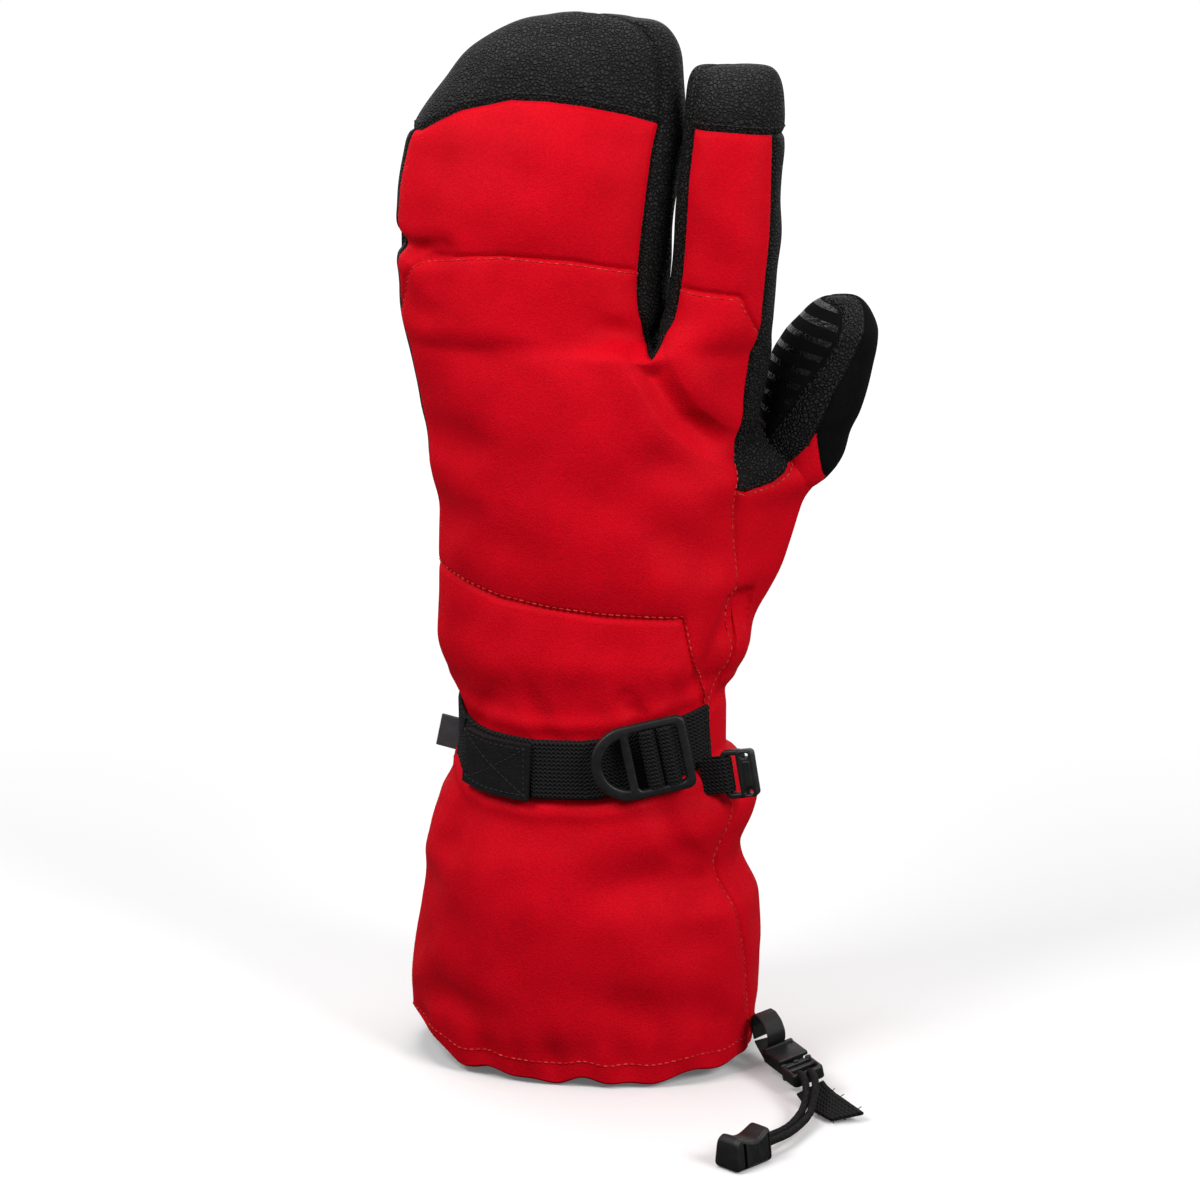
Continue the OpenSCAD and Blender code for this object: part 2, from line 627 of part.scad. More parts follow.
// A square-edged strip along a path, with the direction across it at each point
module strip(path, width, thick, across) {
    n = len(path);
    corners = [for (i = [0:n - 1]) let (normal = cross(across[i], tangent(path, i)))
        each [for (c = [[1, 1], [-1, 1], [-1, -1], [1, -1]])
            path[i] + across[i] * c[0] * width / 2 + normal * c[1] * thick / 2]];
    sides = [for (i = [0:n - 2], k = [0:3]) let (a = 4 * i + k, b = 4 * i + (k + 1) % 4) each [
        [a, b + 4, b], [a, a + 4, b + 4]
    ]];
    last = 4 * (n - 1);
    polyhedron(points = corners,
               faces = concat(sides, [[0, 1, 2], [0, 2, 3]],
                              [[last + 2, last + 1, last], [last + 3, last + 2, last]]));
}
// A cord of eight sides along a path
module cord(path, d) {
    n = len(path);
    sides = 8;
    ring = [for (i = [0:n - 1]) let (
        t = tangent(path, i),
        level = unit(cross(t, [0, 0, 1])),
        up = cross(level, t)
    ) each [for (k = [0:sides - 1])
        path[i] + (level * cos(k * 45) + up * sin(k * 45)) * d / 2]];
    tube = [for (i = [0:n - 2], k = [0:sides - 1]) let (
        a = sides * i + k,
        b = sides * i + (k + 1) % sides
    ) each [[a, b, b + sides], [a, b + sides, a + sides]]];
    last = sides * (n - 1);
    polyhedron(points = ring,
               faces = concat(tube, [[for (k = [sides - 1:-1:0]) k]],
                              [[for (k = [0:sides - 1]) last + k]]));
}

// The adjuster's frame of reference: x along the pull, y across, z out of its plate
adjuster_turn = -55;
adjuster_roll = 13;
adjuster_at = [72.5, -20.5, 7.6];
// Its points are laid out for a gauntlet this wide, and shift with the gauntlet's side
LAID_OUT_W = 121;
adjuster_shift = [(gauntlet_w - LAID_OUT_W) / 2, 0, 0];
module at_adjuster() {
    translate(adjuster_at + adjuster_shift)
        rotate([0, 0, adjuster_turn])
            rotate([adjuster_roll, 0, 0])
                children();
}
plate_t = 1.4;
shell_w = housing_w - 2;
shell_h = 5;
loop_w = 6.5;
loop_t = 0.8;
rear_bar = 1.7;
loop_slot = [loop_t + 1.4, loop_w + 0.7];
cavity_w = shell_w - 2.4;
cavity_h = 3;
cavity_x = -housing_l / 2 + rear_bar + loop_slot[0] + 1.2;
plate_x = -housing_l / 2 + rear_bar + loop_slot[0];
lid_overhang = 1.5;
module adjuster_housing() {
    color([0.12, 0.12, 0.13])
        at_adjuster()
            difference() {
                union() {
                    translate([-housing_l / 2, -shell_w / 2, -shell_h / 2])
                        cube([housing_l - lid_overhang, shell_w, shell_h]);
                    translate([plate_x, -housing_w / 2, shell_h / 2])
                        cube([housing_l / 2 - plate_x, housing_w, plate_t]);
                }
                translate([cavity_x, -cavity_w / 2, -cavity_h / 2])
                    cube([housing_l, cavity_w, cavity_h]);
                translate([-housing_l / 2 + rear_bar, -loop_slot[1] / 2, -shell_h])
                    cube([loop_slot[0], loop_slot[1], 2 * shell_h]);
            }
}
// The hem loop: a ribbon from the side seam, over the housing's rear bar, down its slot and back
slot_x = -housing_l / 2 + rear_bar + loop_slot[0] / 2;
bar_over = shell_h / 2 + loop_t / 2 + 0.3;
module hem_loop() {
    path = [[slot_x - 15, 1.8, 4.4], [slot_x - 13.4, 1.5, 7], [slot_x - 9.6, 1, 8.6], [slot_x - 5.4, 0.5, 8],
            [slot_x - 2.4, 0.2, bar_over + 2], [slot_x - 0.3, 0, bar_over], [slot_x, 0, 0],
            [slot_x - 0.3, 0, -bar_over], [slot_x - 3, 0.2, -bar_over - 0.9], [slot_x - 7, 0.6, -3.2],
            [slot_x - 11, 1.1, -2], [slot_x - 13.9, 1.6, -1]];
    color("black") at_adjuster() strip(path, loop_w, loop_t, [for (p = path) [0, 1, 0]]);
}

tongue_clear = 0.3;
insert_w = 11.5;
insert_l = 10;
insert_t = 4.6;
insert_x = housing_l / 2 + 0.6;
tongue_l = insert_travel + 2;
module adjuster_insert() {
    color([0.12, 0.12, 0.13])
        at_adjuster()
            difference() {
                union() {
                    translate([insert_x - tongue_l, -cavity_w / 2 + tongue_clear,
                               -cavity_h / 2 + tongue_clear])
                        cube([tongue_l + 1, cavity_w - 2 * tongue_clear, cavity_h - 2 * tongue_clear]);
                    translate([insert_x, -insert_w / 2, -insert_t / 2])
                        cube([insert_l, insert_w, insert_t]);
                }
                translate([insert_x + 1.4, -insert_w / 2 + 1.6, -insert_t])
                    cube([2.4, insert_w - 3.2, 2 * insert_t]);
                translate([insert_x + 5.2, -insert_w / 2 + 1.6, -insert_t])
                    cube([3.2, insert_w - 3.2, 2 * insert_t]);
            }
}
// The webbing tail runs from the insert to a slanting cut end on the surface below
tail_w = 10;
tail_t = 1.2;
module hem_webbing_tail() {
    path = [for (p = [[84, -38.6, 4.8], [86, -42, 4.2], [89.5, -46.4, 3.6], [94, -50.6, 3], [99.6, -55.6, 2.2]])
        p + adjuster_shift];
    rolls = [24, 25, 22, 17, 12];
    across = [for (i = [0:len(path) - 1]) let (
        t = tangent(path, i),
        level = unit(cross(t, [0, 0, 1]))
    ) level * cos(rolls[i]) + cross(level, t) * sin(rolls[i])];
    color("black") strip(path, tail_w, tail_t, across);
}
// Two elastic cords run side by side from the insert to the pull
cord_a = [[80.2, -36.4, 8.6], [81, -38.6, 9.2], [82, -41, 9.5], [83, -44, 9.2], [83.9, -47.4, 8.2],
          [84.4, -51, 6.8], [84.5, -55, 5.4], [84.1, -59, 4.4], [83.3, -63, 3.8], [82.4, -67, 3.6],
          [81.3, -71, 3.6], [79.8, -75, 3.8], [78, -79, 4.2], [76, -83.4, 4.6], [73.6, -88, 5]];
cord_b = [[83.2, -34.8, 9], [84, -37, 9.7], [85, -39.6, 10.1], [86, -43, 10], [86.9, -47, 9],
          [87.3, -51, 7.6], [87.3, -55, 6], [87, -59.4, 4.6], [86.2, -63.6, 4], [85.2, -67.8, 3.8],
          [84.1, -72, 3.8], [82.8, -76.4, 4], [81.2, -80.8, 4.4], [79.2, -85.2, 4.8], [76.6, -90, 5]];
function moved(path) = [for (p = path) p + adjuster_shift];
module drawcord_runs() {
    color("black") {
        cord(moved(cord_a), cord_d);
        cord(moved(cord_b), cord_d);
    }
}
// The pull that both cords end in, lying on the surface
pull_w = 11;
pull_turn = 57;
pull_at = [71.3, -94.6, 0.4];
module cord_pull() {
    color([0.12, 0.12, 0.13])
        translate(pull_at + adjuster_shift)
            rotate([0, 0, pull_turn]) {
                difference() {
                    hull() {
                        translate([-pull_l / 2, -pull_w / 2, 0]) cube([pull_l, pull_w, 1]);
                        translate([-pull_l / 2 + 2, -pull_w / 2 + 1.4, pull_h - 1])
                            cube([pull_l - 2, pull_w - 2.8, 1]);
                    }
                    translate([0.5, 0, pull_h + 13])
                        rotate([90, 0, 0])
                            cylinder(r = 14.5, h = 2 * pull_w, center = true, $fn = 96);
                }
            }
}

gauntlet_hem();
hem_drawcord();
gauntlet_back_panel();
gauntlet_palm_panel();
gauntlet_insulation();
gauntlet_lining();
wrist_elastic();
hand_back_panel();
hand_palm_panel();
thumb_side_panel();
thumb_crotch_panel();
palm_reinforcement();
hand_membrane();
hand_insulation();
hand_lining();
finger_fork();
mitt_knuckle_zone();
index_knuckle_zone();
thumb_base_zone();
mitt_back_panel();
mitt_gusset();
mitt_palm_panel();
mitt_cap();
mitt_membrane();
mitt_insulation();
mitt_lining();
index_back_panel();
index_gusset();
index_palm_panel();
index_cap();
index_membrane();
index_insulation();
index_lining();
thumb_grip_panel();
thumb_grip_bars();
thumb_rim();
thumb_back_panel();
thumb_membrane();
thumb_insulation();
thumb_lining();
wrist_strap();
strap_tail();
strap_end_tab();
ladder_lock();
strap_wrap();
leash_tab();
leash_frame();
leash_hook();
side_label();
hem_loop();
adjuster_housing();
adjuster_insert();
hem_webbing_tail();
drawcord_runs();
cord_pull();
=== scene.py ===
import math

import bmesh
import bpy
import numpy as np
from mathutils import Matrix, Vector
from mathutils.kdtree import KDTree


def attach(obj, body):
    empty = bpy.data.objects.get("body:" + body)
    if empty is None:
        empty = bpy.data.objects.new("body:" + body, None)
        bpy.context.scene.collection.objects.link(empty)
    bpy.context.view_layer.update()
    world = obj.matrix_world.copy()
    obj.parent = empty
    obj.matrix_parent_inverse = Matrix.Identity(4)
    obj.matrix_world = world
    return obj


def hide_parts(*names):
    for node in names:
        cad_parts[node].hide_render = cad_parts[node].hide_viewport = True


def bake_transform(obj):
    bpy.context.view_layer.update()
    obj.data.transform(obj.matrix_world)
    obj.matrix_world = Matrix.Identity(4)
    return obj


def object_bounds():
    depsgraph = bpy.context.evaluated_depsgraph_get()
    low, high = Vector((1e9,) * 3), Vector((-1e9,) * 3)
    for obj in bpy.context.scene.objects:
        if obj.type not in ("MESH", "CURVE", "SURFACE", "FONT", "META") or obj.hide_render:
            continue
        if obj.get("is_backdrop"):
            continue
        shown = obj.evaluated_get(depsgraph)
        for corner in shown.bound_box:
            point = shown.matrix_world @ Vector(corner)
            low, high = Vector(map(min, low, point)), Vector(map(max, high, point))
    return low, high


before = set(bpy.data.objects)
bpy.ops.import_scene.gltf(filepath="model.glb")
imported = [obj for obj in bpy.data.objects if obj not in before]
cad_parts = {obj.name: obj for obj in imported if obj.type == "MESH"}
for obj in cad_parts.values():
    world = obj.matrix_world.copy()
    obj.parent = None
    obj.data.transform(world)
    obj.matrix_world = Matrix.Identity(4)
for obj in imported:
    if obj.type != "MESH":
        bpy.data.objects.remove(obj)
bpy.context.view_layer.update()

# ---- Camera ----
# A long lens about a metre away, a little above the middle and a little to the thumb side of the
# back of the hand. The mitten stands on its hem.

TURN, RISE, DISTANCE = math.radians(12), math.radians(13), 1.111
AIM = Vector((0.0053, 0, 0.1565))


def in_scene(name, data):
    made = bpy.data.objects.new(name, data)
    bpy.context.scene.collection.objects.link(made)
    return made


lens = bpy.data.cameras.new("camera")
lens.lens, lens.sensor_width = 100, 36
camera = in_scene("camera", lens)
outward = Vector(
    (math.sin(TURN) * math.cos(RISE), -math.cos(TURN) * math.cos(RISE), math.sin(RISE))
)
camera.location = AIM + outward * DISTANCE
camera.rotation_euler = outward.to_track_quat("Z", "Y").to_euler()
bpy.context.scene.camera = camera

# ---- Drawcord runs ----
# Two elastic cords, 2.5 mm thick, in a braided sheath of black polyester. They are sewn into the
# hem adjuster's insert and held in the pull. Finishes are written as expressions on sockets.


class Wire:
    """A socket with arithmetic: each operation adds its Math node."""

    def __init__(self, tree, out):
        self.tree, self.out = tree, out

    def add(self, kind, settings=None, out=0, **sockets):
        node = self.tree.nodes.new(kind)
        for key, value in (settings or {}).items():
            setattr(node, key, value)
        for key, value in sockets.items():
            socket = node.inputs[int(key[1:]) if key[1:].isdigit() else key.replace("_", " ")]
            if isinstance(value, Wire):
                self.tree.links.new(value.out, socket)
            elif socket.type == "RGBA" and len(value) == 3:
                socket.default_value = (*value, 1)
            else:
                socket.default_value = value
        return Wire(self.tree, node.outputs[out])

    def math(self, operation, a, b=0.0, c=0.0):
        return self.add("ShaderNodeMath", {"operation": operation}, i0=a, i1=b, i2=c)

    def __add__(self, other):
        return self.math("ADD", self, other)

    def __rsub__(self, other):
        return self.math("SUBTRACT", other, self)

    def __mul__(self, other):
        return self.math("MULTIPLY", self, other)

    __radd__, __rmul__ = __add__, __mul__

    def sin(self):
        return self.math("SINE", self)

    def step(self, low, high):
        return self.add("ShaderNodeMapRange", {"interpolation_type": "SMOOTHSTEP"},
                        i0=self, i1=low, i2=high)

    def tint(self, dark, light):
        return self.add("ShaderNodeMix", {"data_type": "RGBA"}, 2, i0=self, i6=dark, i7=light)

    def noise(self, scale, detail=2.0, rough=0.5):
        return self.add("ShaderNodeTexNoise", Vector=self, Scale=scale, Detail=detail,
                        Roughness=rough)

    def cells(self, scale, feature="F1"):
        return self.add("ShaderNodeTexVoronoi", {"feature": feature}, Vector=self, Scale=scale)


def finish(name, colour_of, bump_of, depth, roughness_of=0.6, coordinates="Object", **constants):
    """A finish whose colour, relief and roughness come from functions of place."""
    material = bpy.data.materials.new(name)
    material.use_nodes = True
    tree = material.node_tree
    shader = tree.nodes["Principled BSDF"]
    place = Wire(tree, tree.nodes.new("ShaderNodeTexCoord").outputs[coordinates])
    for key, value in constants.items():
        shader.inputs[key.replace("_", " ")].default_value = value
    tree.links.new(colour_of(place).out, shader.inputs["Base Color"])
    if callable(roughness_of):
        tree.links.new(roughness_of(place).out, shader.inputs["Roughness"])
    else:
        shader.inputs["Roughness"].default_value = roughness_of
    relief = place.add("ShaderNodeBump", Height=bump_of(place), Distance=depth, Strength=1.0)
    tree.links.new(relief.out, shader.inputs["Normal"])
    return material


def plaits(place):
    return place.cells(1500, "SMOOTH_F1") * 0.7 + place.noise(2400) * 0.5


braid = finish(
    "braided_cord",
    lambda p: plaits(p).step(0.2, 0.8).tint((0.018, 0.018, 0.0185), (0.004, 0.004, 0.004)),
    plaits, 0.0003, 0.75, Specular_IOR_Level=0.08,
)

CORD_D = 0.0025
cord_points = {
    "drawcord_near": [
        (80.2, -36.4, 8.6), (81, -38.6, 9.2), (82, -41, 9.5), (83, -44, 9.2), (83.9, -47.4, 8.2),
        (84.4, -51, 6.8), (84.5, -55, 5.4), (84.1, -59, 4.4), (83.3, -63, 3.8), (82.4, -67, 3.6),
        (81.3, -71, 3.6), (79.8, -75, 3.8), (78, -79, 4.2), (76, -83.4, 4.6), (73.6, -88, 5),
    ],
    "drawcord_far": [
        (83.2, -34.8, 9), (84, -37, 9.7), (85, -39.6, 10.1), (86, -43, 10), (86.9, -47, 9),
        (87.3, -51, 7.6), (87.3, -55, 6), (87, -59.4, 4.6), (86.2, -63.6, 4), (85.2, -67.8, 3.8),
        (84.1, -72, 3.8), (82.8, -76.4, 4), (81.2, -80.8, 4.4), (79.2, -85.2, 4.8), (76.6, -90, 5),
    ],
}
cords = {}
for name, points in cord_points.items():
    curve = bpy.data.curves.new(name, "CURVE")
    curve.dimensions = "3D"
    curve.bevel_depth, curve.bevel_resolution = CORD_D / 2, 5
    curve.use_fill_caps = True
    spline = curve.splines.new("POLY")
    spline.points.add(len(points) - 1)
    for knot, point in zip(spline.points, points):
        knot.co = (*[v / 1000 for v in point], 1)
    run = in_scene(name, curve)
    curve.materials.append(braid)
    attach(run, "adjuster")
    if name == "drawcord_near":
        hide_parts("drawcord_runs")
    cords[run] = points, sum(math.dist(a, b) for a, b in zip(points, points[1:])) / 1000

# ---- The sewn bag ----
# Softshell and leather panels are sewn into one puffed bag: a gauntlet and hand that part at the
# knuckles into a stall for three fingers and one for the index. Here the whole bag is lofted from
# sections, in millimetres, before it is parted into its panels.

SQUARE = 2.3
CROTCH_Z, SLIT_X = 243.0, 27.0
STRAP_Z, STRAP_RISE = 108.0, 0.085
# Height, centre x, centre y, half width, half depth, rise across, thenar bulge
HAND = [
    (0, 0, 0, 58.5, 42.5, 0, 0), (12, 0, 0, 58.5, 42.5, 0, 0), (25, 0, 0, 58.9, 42.2, 0, 0),
    (55, 1.2, 0, 57, 41, 0.01, 0), (70, -1.2, 0, 53.4, 39.2, 0.03, 0),
    (78, 0.6, 0, 53.4, 38.4, 0.03, 0),
    (85, 3.2, 0, 54.4, 37.2, 0.04, 0), (91, 4.6, 0, 54.2, 35.6, 0.05, 0),
    (99, 3.5, 0, 49.4, 33.8, 0.06, 0), (108, 3.2, 0, 46, 33, 0.07, 0),
    (119, 3.1, 0, 44.4, 33, 0.06, 0), (125, 3, 0, 44, 33, 0.05, 0),
    (132, 2.8, 0, 46.6, 33, 0.03, 1), (139, 2.6, 0, 50.4, 33, 0.01, 1.5),
    (146, 2.5, 0, 52, 32.5, 0, 2), (153, 2.5, 0, 51.8, 32.2, 0, 4),
    (160, 2.7, 0, 51.6, 32, 0, 8), (168, 2.9, 0, 51.8, 31.8, 0, 12),
    (176, 2.8, 0, 52.2, 31.6, 0, 14.5), (190, 2.7, 0, 53, 31.3, 0, 18.5),
    (198, 2.5, 0, 53.8, 31.1, 0, 23),
    (204, 1.6, 0, 53.9, 31, 0, 20), (208, 1.3, 0, 54.1, 30.8, 0, 8),
    (212, 1.2, 0, 54.6, 30.6, 0, 6),
    (218, 1.2, 0, 55.7, 30.3, 0, 2), (226, 1.4, 0, 57.3, 29.8, 0, 0), (243, 1.3, 0, 60.6, 29, 0, 0),
]
# Height, centre x, centre y, half width, half depth, edge of the back panel at the slit
FINGERS = [
    (243, -19, 0, 41, 29, 27), (249, -17.6, 0, 42.8, 28.6, 23.2), (255.5, -16.9, 0, 44.5, 28, 22),
    (263, -17.2, 0, 45.4, 27.6, 21.7), (270, -16.4, 0, 45.7, 27, 22.1),
    (276, -15.9, 0, 46, 26.4, 22.6), (289, -15.3, 0, 46.5, 25.4, 23.9),
    (308, -13.1, 0, 46.2, 22.6, 26),
    (319, -10, 0, 43, 20, 28), (328.5, -6.6, 0, 38.9, 17.2, 27.6),
    (336.5, -3.7, 0, 35.4, 14.3, 26), (342.5, -0.8, 0, 30, 11, 23), (347.5, 1.8, 0, 21.8, 7.5, 17),
    (349.8, 3, 0, 11, 4, 8.5),
]
INDEX = [
    (243, 44.4, -3, 17.6, 22, 27), (249, 45, -3.6, 17.6, 20, 31.2),
    (256, 45.8, -4, 17.2, 18.5, 32.6),
    (268, 47, -4, 17, 18, 34.3), (288, 48.5, -4, 16.7, 17.2, 35.9), (308, 49.7, -4, 16.3, 15.6, 37),
    (318.5, 50, -4, 15.8, 14.3, 38), (325, 50, -4, 15.4, 12.2, 38.2),
    (330, 49.9, -4, 14.4, 9.2, 38.6),
    (333, 49.8, -4, 12.6, 6.4, 39.4), (334, 49.7, -4, 9.5, 3.6, 42),
]
LEFT_COLS, RIGHT_COLS, CROTCH_COLS = 72, 40, 20
ROW = 3.1
THENAR_AT, THENAR_REACH = 18, 26


def along(table, z):
    """The table's columns at the heights z, on a smooth curve that doesn't overshoot."""
    table = np.array(table, float)
    x, h = table[:, 0], np.diff(table[:, 0])
    i = np.clip(np.searchsorted(x, z, side="right") - 1, 0, len(h) - 1)
    t = np.clip((z - x[i]) / h[i], 0, 1)
    columns = []
    for y in table[:, 1:].T:
        d = np.diff(y) / h
        m = np.concatenate(([d[0]], np.zeros(len(d) - 1), [d[-1]]))
        even = d[:-1] * d[1:] > 0
        total = np.where(even, d[:-1] + d[1:], 1)
        m[1:-1] = np.where(even, 2 * d[:-1] * d[1:] / total, 0)
        columns.append(
            (1 + 2 * t) * (1 - t) ** 2 * y[i] + t * (1 - t) ** 2 * h[i] * m[i]
            + t * t * (3 - 2 * t) * y[i + 1] + t * t * (t - 1) * h[i] * m[i + 1]
        )
    return np.array(columns).T


def line(x, *knots):
    return np.interp(x, [k[0] for k in knots], [k[1] for k in knots])


def ease(t):
    t = np.clip(t, 0, 1)
    return t * t * (3 - 2 * t)


def outline(z, cx, cy, half_w, half_d, rise, bulge, start, turn):
    """Points round one section, from the angle start through turn radians."""
    a = start + turn * np.linspace(0, 1, 600)
    away = np.abs((np.degrees(a) - THENAR_AT + 180) % 360 - 180)
    swell = np.cos(np.radians(90 * away / THENAR_REACH)) ** 2
    out = bulge * np.where(away < THENAR_REACH, swell, 0)
    c, s = np.cos(a), np.sin(a)
    x = cx + half_w * np.sign(c) * np.abs(c) ** (2 / SQUARE) + out * c
    y = cy + half_d * np.sign(s) * np.abs(s) ** (2 / SQUARE) + out * s
    return np.stack([x, y, z + rise * (x - cx)], 1)


def spaced(points, count):
    """count + 1 points at equal steps along a line of points."""
    run = np.concatenate(([0], np.cumsum(np.linalg.norm(np.diff(points, axis=0), axis=1))))
    at = np.linspace(0, run[-1], count + 1)
    return np.stack([np.interp(at, run, points[:, k]) for k in range(points.shape[1])], 1)


def edge_angle(edge, cx, half_w):
    share = np.clip((edge - cx) / half_w, -1, 1)
    return math.acos(np.sign(share) * abs(share) ** (SQUARE / 2))


def stations(table, low):
    """Heights from low to the table's top, at equal steps along the form's profile."""
    z = np.linspace(low, table[-1][0], 400)
    values = along(table, z)
    run = np.cumsum(np.hypot(np.diff(z), np.diff(values[:, 2])))
    count = max(2, round(run[-1] / ROW))
    return np.interp(np.linspace(0, run[-1], count + 1), np.concatenate(([0], run)), z)


bag_points, bag_faces, bag_panels = [], [], []


def put(points):
    start = len(bag_points)
    bag_points.extend(points)
    return list(range(start, start + len(points)))


def skin(low, high, panels):
    """Faces between two closed rings of point numbers, with a panel number for each column."""
    n = len(low)
    for j in range(n):
        k = (j + 1) % n
        bag_faces.append((low[j], high[j], high[k], low[k]))
        bag_panels.append(panels[j])


BODY_LEFT, BODY_RIGHT, FINGER_SKIN, FINGER_GUSSET, INDEX_SKIN, INDEX_GUSSET, THUMB_SKIN = range(7)
body_z = np.linspace(0, CROTCH_Z, round(CROTCH_Z / ROW) + 1)
rings = []
for z, row in zip(body_z, along(HAND, body_z)):
    a = edge_angle(SLIT_X, row[0], row[2])
    left = spaced(outline(z, *row, -a, -(2 * math.pi - 2 * a)), LEFT_COLS)
    right = spaced(outline(z, *row, a, -2 * a), RIGHT_COLS)
    rings.append(put(np.concatenate([left[:-1], right[:-1]])))
body_panels = [BODY_LEFT] * LEFT_COLS + [BODY_RIGHT] * RIGHT_COLS
for low, high in zip(rings, rings[1:]):
    skin(low, high, body_panels)
top = np.array([bag_points[i] for i in rings[-1]])
front, rear = top[0], top[LEFT_COLS]
share = np.linspace(0, 1, CROTCH_COLS + 1)[:, None]
fork = front * (1 - share) + rear * share - np.array([0, 0, 2.5]) * np.sin(math.pi * share)
fork_ids = put(fork[1:-1])


def stall(table, base_ids, outer, start_of, outer_turn_of, panels, blend_h):
    """One finger stall, risen from its ring at the crotch and closed at its tip."""
    heights = stations(table, CROTCH_Z)
    base = np.array([bag_points[i] for i in base_ids])
    low = base_ids
    for z, row in zip(heights[1:], along(table, heights[1:])):
        section = (z, *row[:4], 0, 0)
        a = edge_angle(row[4], row[0], row[2])
        start, turn = start_of(a), outer_turn_of(a)
        first = spaced(outline(*section, start, turn), outer)
        second = spaced(outline(*section, start + turn, -2 * math.pi - turn), CROTCH_COLS)
        ring = np.concatenate([first[:-1], second[:-1]])
        w = math.sin(math.pi / 2 * min(1, (z - CROTCH_Z) / blend_h))
        lifted = base + np.array([0, 0, z - CROTCH_Z])
        high = put(lifted * (1 - w) + ring * w)
        skin(low, high, panels)
        low = high
    middle = put([np.mean([bag_points[i] for i in low], 0) + np.array([0, 0, 0.25])])[0]
    for j in range(len(low)):
        bag_faces.append((low[j], middle, low[(j + 1) % len(low)]))
        bag_panels.append(panels[j])


stall(
    FINGERS, rings[-1][: LEFT_COLS + 1] + fork_ids[::-1], LEFT_COLS,
    lambda a: -a, lambda a: -(2 * math.pi - 2 * a),
    [FINGER_SKIN] * LEFT_COLS + [FINGER_GUSSET] * CROTCH_COLS, 8,
)
stall(
    INDEX, rings[-1][LEFT_COLS:] + [rings[-1][0]] + fork_ids, RIGHT_COLS,
    lambda a: a, lambda a: -2 * a,
    [INDEX_SKIN] * RIGHT_COLS + [INDEX_GUSSET] * CROTCH_COLS, 12,
)

# ---- Where the seams run ----
# The shell's panels are cut flat and sewn edge to edge along these lines. Each seam is the zero
# line of a field over the bag before it is filled, in millimetres.


def side_seam(r):
    """The back panels end here: at the little-finger side, and along the thumb side."""
    x, y, z = r.T
    right = line(z, (0, -6), (24, -8), (50, -14), (76, -18), (100, -15), (119, -12), (131, -10),
                 (155, -7.5), (175, -8.5), (198, -12.2), (204, -10), (210, -9.3), (220, -10.6),
                 (232, -12), (242, -12.4), (256, -12), (300, -11.4))
    left = line(z, (0, -6), (243, -8), (300, -8))
    w = ease((x + 20) / 40)
    return y - (left * (1 - w) + right * w)


def strap_line(r):
    return r[:, 2] - STRAP_Z - STRAP_RISE * (r[:, 0] - 3.2)


def lower_seam(r):
    x, y, z = r.T
    level = line(x, (-50, 170), (-42, 168), (-22, 162), (12, 158), (38, 157))
    edge = line(z, (118, 44.5), (135, 42.5), (157, 38.2))
    return np.maximum(z - level, x - edge)


def finger_middle_seam(r):
    x, y, z = r.T
    return z - line(x, (-62, 248), (-59, 256), (-57, 264), (-53, 269.5), (-47, 272.4), (-21, 274),
                    (2, 272.5), (22, 269))


def index_middle_seam(r):
    x, y, z = r.T
    level = line(x, (33, 264.5), (55, 262), (56, 261))
    slope = line(z, (240, 64.5), (245, 62.5), (262, 55.6))
    return np.where(z > 262.5, z - level, np.maximum(z - level, x - slope))


def finger_cap_seam(r):
    x, y, z = r.T
    return z - line(x, (-52, 312.5), (-45, 316), (-37, 319.5), (-20, 323), (-8, 322.7), (5, 321.2),
                    (18, 318.6), (29, 315.2))


def index_cap_seam(r):
    x, y, z = r.T
    return z - line(x, (36, 315), (40, 314.3), (53, 313.6), (66, 312.6))


def web_seam(r):
    x, y, z = r.T
    return z - line(y, (-16, 200), (-12, 198), (-5, 196), (2, 198), (8, 204.5), (12, 211),
                    (20, 222))


def palm_edge(r):
    return 43 - r[:, 0]


def palm_patch(r):
    """A second layer of leather over the palm's heel, with round corners."""
    x, y, z = r.T
    across, up = np.abs(x + 2) - 26, np.abs(z - 166) - 26
    return np.where(y > 0, 8 - np.hypot(np.maximum(across + 8, 0), np.maximum(up + 8, 0))
                    - np.minimum(np.maximum(across, up) + 8, 0), -5)


# ---- Filling the bag ----
# Batting between the shell and the fleece makes the bag swell between its seams, and the strap and
# the hem hold it. A cloth run with pressure inside does this, held still along the seams.

flat_points = np.array(bag_points)
bag = bpy.data.meshes.new("bag")
bag.from_pydata([tuple(p / 1000) for p in flat_points], [], bag_faces)
rest = bag.attributes.new("rest", "FLOAT_VECTOR", "POINT")
rest.data.foreach_set("vector", flat_points.ravel())
number = bag.attributes.new("panel", "INT", "FACE")
number.data.foreach_set("value", bag_panels)
bag_object = in_scene("bag", bag)


def evaluated(made):
    return made.evaluated_get(bpy.context.evaluated_depsgraph_get())


on_finger = np.zeros(len(flat_points), bool)
on_index = np.zeros(len(flat_points), bool)
for face, panel in zip(bag_faces, bag_panels):
    if panel in (FINGER_SKIN, FINGER_GUSSET):
        on_finger[list(face)] = True
    if panel in (INDEX_SKIN, INDEX_GUSSET):
        on_index[list(face)] = True
z = flat_points[:, 2]
back = side_seam(flat_points) < 0
near = np.minimum(np.abs(side_seam(flat_points)), np.abs(strap_line(flat_points)) / 5)
held = [
    (np.abs(lower_seam(flat_points)), back & (z > 118) & (z < 200)),
    (np.abs(finger_middle_seam(flat_points)), back & on_finger),
    (np.abs(index_middle_seam(flat_points)), back & on_index),
    (np.abs(finger_cap_seam(flat_points)), on_finger),
    (np.abs(index_cap_seam(flat_points)), on_index),
    (np.abs(web_seam(flat_points)), ~back & (flat_points[:, 0] > 43)),
    (z / 6, z < 14),
]
